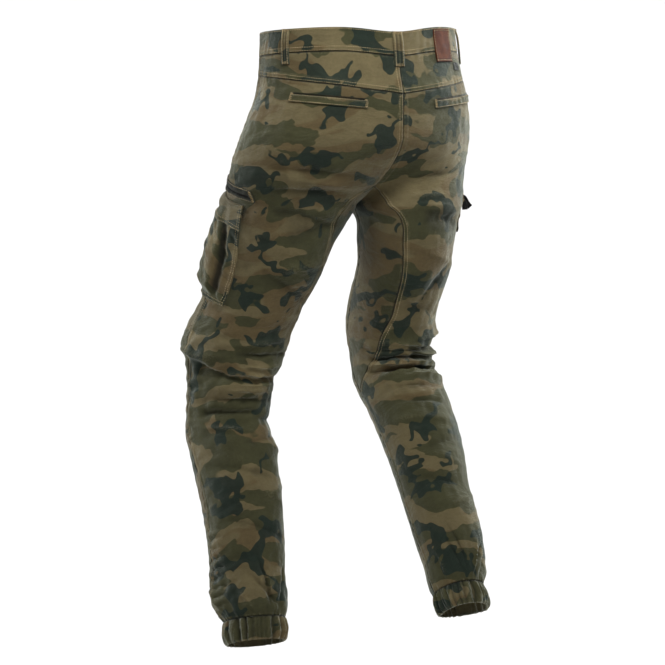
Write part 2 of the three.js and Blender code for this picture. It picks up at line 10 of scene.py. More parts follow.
import bpy
import numpy as np
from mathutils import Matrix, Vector


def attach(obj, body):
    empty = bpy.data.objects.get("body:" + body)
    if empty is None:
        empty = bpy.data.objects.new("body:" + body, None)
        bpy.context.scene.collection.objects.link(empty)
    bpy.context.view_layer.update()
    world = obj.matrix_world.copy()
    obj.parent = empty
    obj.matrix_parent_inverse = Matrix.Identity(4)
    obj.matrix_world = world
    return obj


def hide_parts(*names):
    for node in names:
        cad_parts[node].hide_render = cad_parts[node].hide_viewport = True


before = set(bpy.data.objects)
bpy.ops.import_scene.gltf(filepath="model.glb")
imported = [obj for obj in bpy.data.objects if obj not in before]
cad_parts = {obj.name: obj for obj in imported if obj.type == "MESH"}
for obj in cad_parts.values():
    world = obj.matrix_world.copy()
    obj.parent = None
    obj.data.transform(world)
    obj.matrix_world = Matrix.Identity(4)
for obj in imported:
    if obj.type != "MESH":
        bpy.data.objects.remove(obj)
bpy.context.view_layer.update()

# ------------------------------------------------------------------ sizes shared with the frame's source
WALL = 2.0
BAND_WALL = 3.0
LIFT = 0.6
BAND_HALF = 19.0
BAND_PROUD = 0.8
BAND_SLOPE = 8.5
BACK_DIP = {"depth": 9.5, "width": 0.12}
YOKE_SIDE_Z = -52.0
YOKE_BACK_Z = -80.0
YOKE_CURVE = 1.6
WARP_END_Z = -170.0
HIP_END_Z = -150.0
CROTCH_Z = -255.0
CROTCH_ROUND = 1.7
OUTSEAM_T = 0.4
GUSSET_TOP_Z = -223.5
GUSSET_END_Z = -546.0
LEG_END_Z = {"left": -907.0, "right": -862.0}
CUFF_HEIGHT = {"left": 37.0, "right": 34.0}
STEP = 1e-3
STEP_Z = 0.4
ROUND_LENGTH = 460.0
WAIST_LENGTH = 455.0
SIDES = ("left", "right")

# Half rounds of the pelvis: height, half width, how far back the side lies, depth in front and behind.
HIP_ROWS = {
    "left": [
        [30, 168, 0, 110, 110], [0, 169, 0, 112, 112], [-50, 171, -2, 115, 122], [-80, 175, -4, 117, 130],
        [-122, 190, -10, 119, 130], [-173, 205, -22, 120, 127], [-255, 216, -42, 110, 120],
    ],
    "right": [
        [30, 164, 0, 110, 110], [0, 167, 0, 112, 112], [-50, 177, 0, 115, 122], [-80, 185, 0, 117, 130],
        [-122, 190, 0, 119, 130], [-173, 188, 2, 116, 127], [-255, 178, 8, 108, 120],
    ],
}

# Rounds of a leg: height, centre x and y, half width and depth, turn, lead of the inseam, lean.
LEG_ROWS = {
    "left": [
        [-255, 93, -51, 99, 106, 8, -31, 0], [-282, 101, -61, 92, 104, 12, -22, -4],
        [-311, 109, -71, 84, 98, 16, -12, -7], [-349, 116, -82, 76, 93, 18, -4, -9],
        [-412, 128, -111, 70, 86, 20, 0, -10], [-462, 139, -137, 70, 87, 20, 0, -8],
        [-513, 145, -142, 63, 78, 20, 0, -4], [-563, 148, -147, 60, 71, 20, 0, 2],
        [-600, 150, -148, 60, 69, 20, 0, 6], [-638, 149, -134, 61, 71, 20, 0, 9],
        [-689, 148, -119, 58, 68, 20, 0, 11], [-739, 146, -107, 57, 66, 19, 0, 10],
        [-789, 144, -102, 56, 64, 18, 0, 8], [-840, 143, -98, 55, 62, 17, 0, 8], [-875, 142, -95, 56, 62, 16, 0, 8],
        [-897, 141, -87, 51, 57, 15, 0, 8], [-907, 141, -83, 46, 52, 15, 0, 8], [-925, 141, -81, 47, 53, 15, 0, 8],
        [-950, 141, -79, 44, 50, 15, 0, 8],
    ],
    "right": [
        [-255, 85, 6, 86, 104, 14, -2, 0], [-282, 88.5, 4, 78, 100, 17, 0, -3], [-311, 91.5, -6, 75, 97, 20, 0, -6],
        [-349, 95, -17, 71, 92, 20, 0, -9], [-412, 100, -53, 69, 88, 20, 0, -9],
        [-462, 104, -72, 66, 84, 20, 0, -6], [-513, 110, -70, 64, 79, 20, 0, 8],
        [-538, 111, -55, 64, 77, 20, 0, 15], [-563, 112, -34, 63, 73, 20, 0, 19],
        [-613, 115, -1, 61, 70, 20, 0, 23], [-664, 119, 21, 57, 68, 20, 0, 24], [-714, 120, 41, 53, 64, 20, 0, 25],
        [-764, 122, 66, 53, 62, 18, 0, 25], [-814, 125, 86, 49, 58, 16, 0, 24], [-845, 127, 91, 46, 54, 15, 0, 23],
        [-862, 127, 94, 40, 47, 15, 0, 22], [-880, 128, 100, 41, 47, 15, 0, 22],
        [-905, 129, 109, 39, 45, 15, 0, 22],
    ],
}

# Edge of the back panel along the gusset: height, share of the way round.
GUSSET_ROWS = [
    [-223.5, 0.994], [-235, 0.95], [-250, 0.885], [-275, 0.825], [-320, 0.8], [-410, 0.795], [-445, 0.815],
    [-475, 0.84], [-500, 0.87], [-520, 0.91], [-546, 0.992],
]

# Largest folds: from (t, z) to (t, z), half width, height (minus is a trough).
FOLDS = {
    "left": [
        [0.3, -478, 0.52, -500, 20, 5], [0.42, -500, 0.62, -528, 13, -6], [0.62, -528, 0.9, -522, 12, -6],
        [0.5, -545, 0.8, -548, 16, 4], [0.44, -580, 0.74, -588, 13, -5], [0.7, -600, 0.92, -594, 13, -4],
        [0.74, -640, 0.96, -655, 18, 4], [0.05, -505, 0.32, -530, 18, -5], [0.08, -560, 0.36, -585, 16, -4],
        [0.55, -345, 0.9, -420, 26, -4], [0.6, -840, 0.78, -900, 12, -4], [0.94, -850, 0.84, -900, 10, -4],
        [0.36, -838, 0.46, -898, 14, 3], [0.55, -262, 0.85, -284, 22, -4], [0.6, -700, 0.85, -745, 22, 3],
    ],
    "right": [
        [0.53, -494, 0.92, -503, 11, -8], [0.55, -523, 0.93, -524, 10, -8], [0.44, -444, 0.72, -458, 14, 6],
        [0.46, -471, 0.72, -476, 9, -5], [0.45, -485, 0.66, -490, 8, 5], [0.55, -509, 0.9, -513, 7, 4],
        [0.54, -540, 0.84, -545, 13, 5], [0.6, -590, 0.88, -575, 14, -4], [0.06, -500, 0.34, -520, 18, -5],
        [0.08, -560, 0.36, -575, 16, -4], [0.58, -330, 0.72, -400, 24, -4], [0.56, -800, 0.66, -858, 12, -4],
        [0.84, -790, 0.76, -856, 11, -4], [0.62, -690, 0.86, -660, 20, 3], [0.55, -268, 0.78, -280, 20, -4],
    ],
}

# Creases of the cloth: from (t, z) to (t, z), half width, height (minus is a trough).
CREASES = {
    "left": [
        [0.97, -214, 0.62, -196, 15, -2.0], [0.95, -236, 0.58, -232, 13, -2.2], [0.93, -232, 0.66, -214, 12, 1.4],
        [0.90, -268, 0.60, -300, 16, -1.8], [0.84, -330, 0.58, -352, 15, 1.5], [0.80, -452, 0.56, -470, 9, 1.8],
        [0.88, -478, 0.58, -484, 8, -2.4], [0.84, -500, 0.60, -506, 6, 2.0], [0.52, -520, 0.78, -516, 6, 2.2],
        [0.56, -540, 0.86, -536, 6, 1.8], [0.50, -562, 0.84, -566, 8, -2.0], [0.46, -606, 0.72, -622, 10, 1.8],
        [0.90, -618, 0.62, -640, 11, -1.6], [0.48, -668, 0.80, -700, 14, -1.6], [0.94, -690, 0.66, -735, 13, 1.5],
        [0.52, -752, 0.84, -792, 12, -1.5], [0.64, -812, 0.73, -896, 7, -2.2], [0.82, -806, 0.75, -896, 7, -2.2],
        [0.69, -840, 0.72, -898, 5, 1.8], [0.56, -862, 0.62, -902, 6, 1.6], [0.93, -848, 0.90, -900, 7, 1.5],
        [0.04, -128, 0.24, -104, 11, -1.8], [0.05, -164, 0.28, -146, 12, -2.0], [0.06, -204, 0.26, -194, 12, -2.0],
        [0.06, -184, 0.24, -170, 10, 1.3], [0.06, -250, 0.22, -262, 13, -1.8], [0.08, -330, 0.30, -372, 18, -1.5],
        [0.06, -470, 0.34, -478, 10, 2.0], [0.08, -520, 0.32, -545, 8, -2.0], [0.10, -600, 0.34, -622, 12, 1.6],
        [0.08, -690, 0.32, -716, 14, -1.4], [0.12, -786, 0.30, -822, 12, 1.5], [0.10, -842, 0.16, -900, 7, -2.0],
        [0.28, -846, 0.24, -900, 7, 1.8],
    ],
    "right": [
        [0.96, -216, 0.64, -200, 14, -2.0], [0.94, -246, 0.60, -236, 13, 1.5], [0.78, -262, 0.56, -286, 14, -2.0],
        [0.76, -312, 0.54, -342, 15, 1.5], [0.78, -392, 0.56, -420, 15, -1.6], [0.84, -464, 0.58, -470, 8, 1.8],
        [0.90, -482, 0.60, -480, 7, -2.2], [0.92, -512, 0.56, -516, 6, 2.2], [0.90, -536, 0.58, -532, 6, 2.0],
        [0.86, -556, 0.60, -562, 8, -2.0], [0.92, -604, 0.64, -620, 11, 1.8], [0.54, -640, 0.84, -662, 13, -1.6],
        [0.94, -690, 0.66, -720, 13, -1.5], [0.56, -730, 0.82, -762, 12, 1.5], [0.58, -778, 0.70, -852, 7, -2.0],
        [0.80, -774, 0.74, -852, 7, -2.2], [0.90, -800, 0.86, -856, 7, 1.8], [0.66, -800, 0.71, -856, 5, 1.8],
        [0.04, -126, 0.22, -106, 11, -1.8], [0.05, -168, 0.26, -150, 12, -2.0], [0.06, -206, 0.26, -198, 12, -2.0],
        [0.06, -186, 0.22, -174, 10, 1.3], [0.08, -300, 0.30, -330, 16, -1.6], [0.08, -396, 0.32, -420, 16, 1.4],
        [0.06, -476, 0.36, -486, 9, 2.0], [0.08, -510, 0.34, -532, 8, -2.0], [0.10, -586, 0.34, -606, 12, 1.6],
        [0.08, -668, 0.32, -694, 14, -1.4], [0.12, -752, 0.30, -784, 12, 1.5], [0.12, -800, 0.17, -856, 7, -2.0],
        [0.30, -798, 0.26, -856, 7, 1.8],
    ],
}


# ------------------------------------------------------------------ camera, light and floor
# First of all, the photograph's view: level, from behind and the wearer's left, from far away.
VIEW = {"azimuth": 147.0, "distance": 4.0, "target": (0.034, -0.022, -0.4555), "width": 1.0456}
FLOOR_Z = -1.03
STAGE = {"radius": 7.0, "curve": 2.0, "height": 9.0, "steps": 10, "sides": 72}
STAGE_GREY = (0.6, 0.6, 0.6, 1)
STAGE_GLOW = 0.03
WORLD_LIGHT = 0.06
WHITE = (1, 1, 1, 1)
LIGHTS = [  # name, place and aim as azimuth, distance and height, size, power, spread
    ("key", (162, 1.0, 1.05), (147, 0.0, -0.15), 0.5, 25, 180),
    ("fill", (120, 3.0, 0.8), (147, 0.0, 0.1), 1.6, 3, 180),
    ("rim_right", (270, 1.9, 0.5), (147, 0.0, -0.3), 0.9, 50, 180),
    ("rim_left", (36, 2.2, 0.4), (147, 0.0, -0.3), 0.9, 38, 180),
    ("top", (327, 1.5, 2.6), (327, 1.9, -1.0), 1.2, 30, 180),
    ("backdrop", (327, 3.5, 2.7), (327, 6.0, -0.5), 2.2, 195, 160),
]


def place_camera():
    back = around(VIEW["azimuth"], 1.0, 0.0)
    data = bpy.data.cameras.new("camera")
    data.type = "ORTHO"
    data.ortho_scale = VIEW["width"]
    camera = bpy.data.objects.new("camera", data)
    camera.location = Vector(VIEW["target"]) + back * VIEW["distance"]
    camera.rotation_euler = back.to_track_quat("Z", "Y").to_euler()
    bpy.context.collection.objects.link(camera)
    bpy.context.scene.camera = camera


def around(azimuth, distance, height):
    """A place in metres, at an azimuth and distance from the frame's middle axis."""
    azimuth = math.radians(azimuth)
    return Vector((distance * math.sin(azimuth), -distance * math.cos(azimuth), height))


def place_light(name, place, aim, size, power, spread):
    data = bpy.data.lights.new(name, "AREA")
    data.shape = "DISK"
    data.size = size
    data.energy = power
    data.spread = math.radians(spread)
    light = bpy.data.objects.new(name, data)
    light.location = around(*place)
    light.rotation_euler = (light.location - around(*aim)).to_track_quat("Z", "Y").to_euler()
    bpy.context.collection.objects.link(light)


def place_stage():
    """A pale floor that curves up all round into a pale wall."""
    sides, curve = STAGE["sides"], STAGE["curve"]
    foot = STAGE["radius"] - curve
    profile = [(foot, FLOOR_Z)]
    for i in range(1, STAGE["steps"] + 1):
        angle = math.pi / 2 * i / STAGE["steps"]
        profile.append((foot + curve * math.sin(angle), FLOOR_Z + curve * (1 - math.cos(angle))))
    profile.append((STAGE["radius"], FLOOR_Z + STAGE["height"]))
    verts, faces = [(0.0, 0.0, FLOOR_Z)], []
    for ring, (reach, z) in enumerate(profile):
        low = 1 + (ring - 1) * sides
        for i in range(sides):
            angle, j = 2 * math.pi * i / sides, (i + 1) % sides
            verts.append((reach * math.cos(angle), reach * math.sin(angle), z))
            faces.append((low + i, low + sides + i, low + sides + j, low + j) if ring else (0, 1 + i, 1 + j))
    mesh = bpy.data.meshes.new("floor")
    mesh.from_pydata(verts, [], faces)
    mesh.shade_smooth()
    pale = Nodes("pale_floor")
    pale.set(Base_Color=STAGE_GREY, Roughness=0.9, Emission_Color=WHITE, Emission_Strength=STAGE_GLOW)
    mesh.materials.append(pale.material)
    floor = bpy.data.objects.new("floor", mesh)
    bpy.context.collection.objects.link(floor)


def light_scene():
    world = bpy.data.worlds.new("studio")
    world.use_nodes = True
    sky = world.node_tree.nodes["Background"].inputs
    sky["Color"].default_value, sky["Strength"].default_value = WHITE, WORLD_LIGHT
    bpy.context.scene.world = world
    bpy.context.scene.view_settings.view_transform = "Standard"
    for row in LIGHTS:
        place_light(*row)


# ------------------------------------------------------------------ the cloth's outer face
def track(rows):
    """Reads a table's rows by their first column, joined by smooth curves that don't overshoot."""
    table = np.array(sorted(rows), float)
    keys, values = table[:, 0], table[:, 1:]
    rises = np.diff(values, axis=0) / np.diff(keys)[:, None]
    before, after = rises[:-1], rises[1:]
    same_way = before * after > 0
    total = np.where(same_way, before + after, 1.0)
    slopes = np.zeros_like(values)
    slopes[1:-1] = np.where(same_way, 2 * before * after / total, 0.0)

    def read(key):
        at = np.clip(key, keys[0], keys[-1])
        i = np.clip(np.searchsorted(keys, at, side="right") - 1, 0, len(keys) - 2)
        span = (keys[i + 1] - keys[i])[..., None]
        u = (at - keys[i])[..., None] / span
        h1 = u * u * (3 - 2 * u)
        bend = u * (1 - u) ** 2 * slopes[i] + u * u * (u - 1) * slopes[i + 1]
        return np.moveaxis(values[i] * (1 - h1) + values[i + 1] * h1 + span * bend, -1, 0)

    return read


HIP = {side: track(HIP_ROWS[side]) for side in SIDES}
LEG = {side: track(LEG_ROWS[side]) for side in SIDES}
gusset_t = track(GUSSET_ROWS)


def smoothstep(value, low, high):
    u = np.clip((value - low) / (high - low), 0, 1)
    return u * u * (3 - 2 * u)


def lerp(low, high, share):
    return low + (high - low) * share


def bell(value, middle, half, power=2):
    """A soft bump of height 1 round a middle."""
    return np.exp(-(((value - middle) / half) ** power))


def hip_point(side, t, z):
    half, mid, front, back = HIP[side](z)
    ahead = np.cos(np.pi * t)
    depth = np.where(ahead > 0, front + mid, back - mid)
    return np.stack([half * np.sin(np.pi * t), mid - depth * ahead, z], -1)


def leg_point(side, t, z, level):
    """A point of the leg; level keeps its own height, as the rounds do above the crotch."""
    x, y, wide, deep, turn, lead, lean = LEG[side](np.minimum(z, CROTCH_Z))
    angle = 2 * np.pi * t + np.radians(lead) * np.cos(np.pi * t) ** 2
    out, ahead = -wide * np.cos(angle), deep * np.sin(angle)
    turn, lean = np.radians(turn), np.radians(lean)
    across = out * np.cos(turn) + ahead * np.sin(turn)
    along = out * np.sin(turn) - ahead * np.cos(turn)
    height = np.where(level, z, z + along * np.sin(lean))
    return np.stack([x + across, y + along * np.cos(lean), height], -1)


def plain_point(side, t, z):
    upper = z > CROTCH_Z
    share = np.clip((HIP_END_Z - z) / (HIP_END_Z - CROTCH_Z), 0, 1) ** CROTCH_ROUND
    share = np.where(upper, share, 1.0)[..., None]
    point = lerp(hip_point(side, t, z), leg_point(side, t, z, upper), share)
    point[..., 0] = np.maximum(point[..., 0], 0)
    return point


def normal_of(surface, t, z):
    """Outward normal; the crotch's lowest row faces the way the legs do."""
    above = np.where(z <= CROTCH_Z, np.minimum(z + STEP_Z, CROTCH_Z), z + STEP_Z)
    normal = np.cross(surface(t, z - STEP_Z) - surface(t, above), surface(t + STEP, z) - surface(t - STEP, z))
    return normal / np.linalg.norm(normal, axis=-1, keepdims=True)


def folds_height(rows, t, z, sharp=0.0, steep=1.0):
    """Soft troughs and ridges from point to point. Sharp adds a narrower line along each one's middle; steep
    narrows the lower side of a ridge and the upper side of a trough, where cloth hangs over."""
    height = np.zeros_like(z)
    for from_t, from_z, to_t, to_z, half, rise in rows:
        run = (to_t - from_t) * ROUND_LENGTH, to_z - from_z
        away = (t - from_t) * ROUND_LENGTH, z - from_z
        share = np.clip((away[0] * run[0] + away[1] * run[1]) / (run[0] ** 2 + run[1] ** 2), 0, 1)
        distance = np.hypot(away[0] - run[0] * share, away[1] - run[1] * share)
        above = (run[0] * away[1] - run[1] * away[0]) * np.sign(run[0]) > 0
        distance = distance / np.where(above == (rise < 0), steep, 1.0)
        taper = 0.25 + 0.75 * np.sin(np.pi * share)
        height += rise * taper * bell(distance, 0, half)
        if sharp:
            height += sharp * rise * np.sin(np.pi * share) * bell(distance, 0, 0.3 * half)
    return height


def edge_fade(t):
    """Folds fade out at the centre and inseam edges, so both sides of a seam meet."""
    return np.sqrt(np.sin(np.pi * np.clip(t, 0, 1)))


def skin(side, t, z):
    out = normal_of(lambda a, b: plain_point(side, a, b), t, z)
    return plain_point(side, t, z) + out * (folds_height(FOLDS[side], t, z) * edge_fade(t))[..., None]


def ripples(u, v, seed, length, stretch=1.0, waves=14):
    """Smooth seeded unevenness of about one millimetre, from waves in all directions."""
    random = np.random.default_rng(seed)
    total = np.zeros_like(u)
    for _ in range(waves):
        angle = random.uniform(0, np.pi)
        pitch = length * random.uniform(0.75, 1.5)
        phase = random.uniform(0, 2 * np.pi)
        total += np.sin(2 * np.pi * (u * np.cos(angle) + stretch * v * np.sin(angle)) / pitch + phase)
    return total * math.sqrt(2 / waves)


LUMPS = {"broad": (0.75, 78, 0.8), "fine": (0.3, 26, 1.5), "grain": (0.12, 11, 1.0)}  # height, length, stretch
LIMP = {"knee": -520, "half": 70, "ankle": (-760, -880), "ankle_share": 0.6, "by": 0.6}  # where cloth crumples
SMOOTH_TOP = {"from": -60, "to": -20, "by": 0.8}


def drape_height(side, t, z):
    """Everything finer than the frame's folds: listed creases, soft lumps and the elastic's ribs."""
    seed, u = 11 + SIDES.index(side), t * ROUND_LENGTH
    height = folds_height(FOLDS[side], t, z, sharp=0.7, steep=0.6) - folds_height(FOLDS[side], t, z)
    height += 1.6 * folds_height(CREASES[side], t, z, sharp=0.6, steep=0.5)
    limp = bell(z, LIMP["knee"], LIMP["half"]) + LIMP["ankle_share"] * smoothstep(z, *LIMP["ankle"])
    for k, (name, (rise, length, stretch)) in enumerate(LUMPS.items()):
        rise = rise + LIMP["by"] * limp if name == "fine" else rise
        height += rise * ripples(u, z, seed + 20 * k, length, stretch)
    upper = smoothstep(z, SMOOTH_TOP["from"], SMOOTH_TOP["to"])
    return height * edge_fade(t) * (1 - SMOOTH_TOP["by"] * upper) + ribs_height(side, t, z)


# Elastic panel at the outer ankle: its ribs run round the leg.
RIBS = {"from": 0.375, "to": 0.5, "top": -762.0, "bottom": -900.0, "pitch": 15.0, "height": 2.0, "soft": 0.022,
        "fade": 12, "round": 0.7}


def ribs_height(side, t, z):
    level = z - (LEG_END_Z[side] - LEG_END_Z["left"])
    inside = smoothstep(t, RIBS["from"], RIBS["from"] + RIBS["soft"])
    inside = inside * (1 - smoothstep(t, RIBS["to"] - RIBS["soft"], RIBS["to"]))
    inside = inside * smoothstep(level, RIBS["bottom"], RIBS["bottom"] + RIBS["fade"])
    inside = inside * (1 - smoothstep(level, RIBS["top"] - RIBS["fade"], RIBS["top"]))
    wobble = 1.5 * np.sin(t * 61 + 1.0) + 0.9 * np.sin(level / 23)
    pillow = 2 * np.abs(np.sin(np.pi * (level + wobble) / RIBS["pitch"])) ** RIBS["round"] - 1
    return RIBS["height"] * inside * pillow


def raised(side, t, z, height):
    """Points at a height over the cloth, and the outward normals there, in the right place for each side."""
    t, z = np.broadcast_arrays(np.asarray(t, float), np.asarray(z, float))
    out = normal_of(lambda a, b: skin(side, a, b), t, z)
    point = skin(side, t, z) + out * np.asarray(height)[..., None]
    if side == "right":
        point, out = point * (-1, 1, 1), out * (-1, 1, 1)
    return point, out


# ------------------------------------------------------------------ meshes
class Grid:
    """A piece's outer face as rows and columns of points and normals, walked by distance along the cloth."""

    def __init__(self, points, normals):
        self.points, self.normals = points, normals

    def at(self, i, j):
        rows, columns = self.points.shape[:2]
        i, j = np.broadcast_arrays(np.clip(i, 0, rows - 1), np.clip(j, 0, columns - 1))
        low_i = np.minimum(i.astype(int), rows - 2)
        low_j = np.minimum(j.astype(int), columns - 2)
        part_i, part_j = (i - low_i)[..., None], (j - low_j)[..., None]

        def mix(grid):
            low = lerp(grid[low_i, low_j], grid[low_i, low_j + 1], part_j)
            return lerp(low, lerp(grid[low_i + 1, low_j], grid[low_i + 1, low_j + 1], part_j), part_i)

        return mix(self.points), mix(self.normals)

    def line(self, edge, inset, start=0.0, stop=1.0):
        """A line inset from the top, bottom, first or last edge, over a share of that edge."""
        across = edge in ("top", "bottom")
        run = distances(self.points, 0 if across else 1)
        run = run if across else run.T
        count = run.shape[1]
        along = np.arange(count)
        wanted = run[-1] - inset if edge in ("bottom", "last") else np.full(count, inset)
        found = np.array([np.interp(wanted[k], run[:, k], np.arange(len(run))) for k in along])
        keep = (along >= start * (count - 1)) & (along <= stop * (count - 1))
        found, along = found[keep], along[keep]
        return self.at(found, along) if across else self.at(along, found)


def distances(points, axis):
    """Distance along the cloth from its first row (axis 0) or column (axis 1)."""
    steps = np.linalg.norm(np.diff(points, axis=axis), axis=-1)
    start = np.zeros_like(np.take(steps, [0], axis=axis))
    return np.concatenate([start, np.cumsum(steps, axis=axis)], axis=axis)


def make_wall(name, outer, inner, uv, marks_and_painted_light, ring=False, mirrored=False):
    """A closed wall between two grids. UVs are metres of cloth; the marks are rubbing with painted highlight,
    painted shade and the wrong side.
    """
    rows, columns = outer.shape[:2]
    last = columns if ring else columns - 1
    wide = columns + 1 if ring else columns
    corners, flat = [], []

    def quads(*places):
        ids = [(layer * rows + r) * columns + c % columns for layer, r, c in places]
        uvs = [(layer * rows + r) * wide + c for layer, r, c in places]
        order = slice(None, None, -1) if mirrored else slice(None)
        corners.append(np.stack([np.ravel(part) for part in ids], -1)[:, order])
        flat.append(np.stack([np.ravel(part) for part in uvs], -1)[:, order])

    r, c = np.meshgrid(np.arange(rows - 1), np.arange(last), indexing="ij")
    quads((0, r, c), (0, r + 1, c), (0, r + 1, c + 1), (0, r, c + 1))
    quads((1, r, c), (1, r, c + 1), (1, r + 1, c + 1), (1, r + 1, c))
    c, top, low = np.arange(last), np.zeros(last, int), np.full(last, rows - 1)
    quads((0, top, c), (0, top, c + 1), (1, top, c + 1), (1, top, c))
    quads((0, low, c), (1, low, c), (1, low, c + 1), (0, low, c + 1))
    if not ring:
        r, first, end = np.arange(rows - 1), np.zeros(rows - 1, int), np.full(rows - 1, last)
        quads((0, r, first), (1, r, first), (1, r + 1, first), (0, r + 1, first))
        quads((0, r, end), (0, r + 1, end), (1, r + 1, end), (1, r, end))
    corners, flat = np.concatenate(corners), np.concatenate(flat)
    points = np.concatenate([outer.reshape(-1, 3), inner.reshape(-1, 3)])
    uv = np.concatenate([uv.reshape(-1, 2), uv.reshape(-1, 2)])
    inside = marks_and_painted_light.copy()
    inside[..., 2] = 1.0
    colours = np.concatenate([marks_and_painted_light.reshape(-1, 3), inside.reshape(-1, 3)])
    return make_mesh(name, points, corners, uv[flat], colours)


def make_mesh(name, points, corners, uvs=None, colours=None):
    """A mesh from millimetre points and the corners of its faces, all with the same number of sides."""
    mesh = bpy.data.meshes.new(name)
    sides = corners.shape[1]
    mesh.vertices.add(len(points))
    mesh.vertices.foreach_set("co", (np.asarray(points) * 0.001).astype(np.float32).ravel())
    mesh.loops.add(corners.size)
    mesh.loops.foreach_set("vertex_index", corners.astype(np.int32).ravel())
    mesh.polygons.add(len(corners))
    mesh.polygons.foreach_set("loop_start", np.arange(0, corners.size, sides, dtype=np.int32))
    mesh.update(calc_edges=True)
    if uvs is not None:
        mesh.uv_layers.new(name="cloth").data.foreach_set("uv", uvs.astype(np.float32).ravel())
    if colours is not None:
        colours = np.concatenate([colours, np.ones((len(colours), 1))], -1)
        layer = mesh.attributes.new("marks_and_painted_light", "FLOAT_COLOR", "POINT")
        layer.data.foreach_set("color", colours.astype(np.float32).ravel())
    mesh.validate()
    mesh.shade_smooth()
    mesh.set_sharp_from_angle(angle=math.radians(50))
    return mesh


def add_piece(name, mesh, material, nodes=()):
    mesh.materials.append(material)
    piece = bpy.data.objects.new(name, mesh)
    bpy.context.collection.objects.link(piece)
    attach(piece, "root")
    if nodes:
        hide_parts(*nodes)
    return piece


def add_cloth(name, outer, inner, out, uv, marks, look=None,
              ring=False, mirrored=False):
    """A wall of cloth that replaces its node. Marks are its rubbing with painted highlight and its painted shade.
    """
    marks_and_painted_light = np.clip(np.stack([*marks, 0 * marks[0]], -1), 0, 1)
    mesh = make_wall(name, outer, inner, uv, marks_and_painted_light, ring, mirrored)
    piece = add_piece(f"cloth_{name}", mesh, look or CAMO_CLOTH, [name])
    if ring:
        outer, out = close(outer), close(out)
    return Grid(outer, out)


def spaced(length, spacing, near):
    """Shares from 0 to 1 along a length: the near distances at its ends and even steps between."""
    ends = np.array([0.0, *near])
    reach = ends[-1]
    count = max(2, int(round((length - reach * 2) / spacing)) + 1)
    middle = np.linspace(reach, length - reach, count)
    return np.unique(np.round(np.concatenate([ends, middle, length - ends[::-1]]), 4)) / length


# ------------------------------------------------------------------ seams and edges
SEAM_NEAR = (0.7, 1.5, 2.8, 4.6, 6.6, 8.2, 9.2, 10.4, 12.4)
FELL_WIDTH = 8.6
FELL_RISE = 0.55
GROOVE = {"depth": 1.2, "half": 1.1}
PUCKER = {"height": 0.5, "reach": 7.0, "pitch": 9.0}
# rubbing on a seam's raised edges and by a felled edge, and the width of the painted shade in its groove
SEAM_WEAR_AND_SHADE = {"seam": 0.8, "fell": 0.7, "shade_width": 1.5}
# how much fold ridges are painted paler (wear and painted highlight) and fold troughs darker (painted shade)
FOLD_WEAR_AND_PAINTED_LIGHT = {"ridge": 0.3, "trough": 0.42}


def seam_relief(distance, along, felled, seed):
    """Height by a seam: a groove on the seam, the doubled cloth of a felled side, and small puckers."""
    height = -GROOVE["depth"] * bell(distance, 0, GROOVE["half"])
    if felled:
        height += FELL_RISE * (1 - smoothstep(distance, FELL_WIDTH - 1.0, FELL_WIDTH + 0.8))
    pucker = ripples(along, along * 0, seed, PUCKER["pitch"], waves=6)
    return height + PUCKER["height"] * pucker * np.exp(-distance / PUCKER["reach"])


def seam_wear_and_shade(distance, along, felled, seed):
    """Rubbing on the raised edges of a seam, uneven along it, and painted shade in its groove."""
    uneven = 0.6 + 0.4 * ripples(along, along * 0, seed + 5, 17.0, waves=6)
    wear_and_highlight = SEAM_WEAR_AND_SHADE["seam"] * bell(distance, 2.0, 1.4) * uneven
    if felled:
        wear_and_highlight += SEAM_WEAR_AND_SHADE["fell"] * bell(distance, FELL_WIDTH, 1.3) * uneven
    return wear_and_highlight, bell(distance, 0, SEAM_WEAR_AND_SHADE["shade_width"])


def hem_height(distance, roll=1.2, width=7.0, rise=0.45):
    """Height near a turned edge: rolled over at the edge, doubled for the width of the hem."""
    return rolled(distance, roll) + rise * (1 - smoothstep(distance, width - 1, width + 1))


def rolled(distance, roll):
    bend = np.clip(1 - distance / roll, 0, 1)
    return roll * (np.sqrt(1 - bend * bend) - 1)


# ------------------------------------------------------------------ sewing
THREAD = {"length": 3.1, "pitch": 3.9, "width": 0.9, "height": 0.45}
TACK = {"length": 2.4, "pitch": 2.5, "width": 0.8, "height": 0.7}
TACK_ROWS = (-1.8, -0.9, 0.0, 0.9, 1.8)
stitches = {}


def sew(group, line, thread=THREAD):
    """Adds a run of stitches along a line of points and normals to a group."""
    points, normals = line
    run = distances(points[None], 1)[0]
    count = int(run[-1] / thread["pitch"])
    if count < 2:
        return
    middle = (np.arange(count) + 0.5) * run[-1] / count

    def read(values, at):
        return np.stack([np.interp(at, run, values[:, k]) for k in range(3)], -1)

    half = thread["length"] / 2
    tail, head = read(points, middle - half), read(points, middle + half)
    out = read(normals, middle)
    out /= np.linalg.norm(out, axis=-1, keepdims=True)
    ahead = head - tail
    side = np.cross(ahead, out)
    side *= thread["width"] / 2 / np.linalg.norm(side, axis=-1, keepdims=True)
    out *= thread["height"]
    verts = [tail - 0.3 * out]
    for share in (0.25, 0.75):
        middle_point = tail + share * ahead
        verts += [middle_point + side, middle_point + out, middle_point - side, middle_point - 0.5 * out]
    verts.append(head - 0.3 * out)
    stitches.setdefault(group, []).append(np.stack(verts, 1))


def make_stitches(material):
    """One mesh for each group; a stitch is two points with a square ring by each."""
    for group, runs in stitches.items():
        points = np.concatenate(runs)
        faces = []
        for k in range(4):
            a, b = 1 + k, 1 + (k + 1) % 4
            faces += [(0, b, a), (a, b, b + 4), (a, b + 4, a + 4), (9, a + 4, b + 4)]
        corners = (np.arange(len(points)) * 10)[:, None, None] + np.array(faces)[None]
        mesh = make_mesh(f"stitches_{group}", points.reshape(-1, 3), corners.reshape(-1, 3))
        add_piece(f"stitches_{group}", mesh, material)


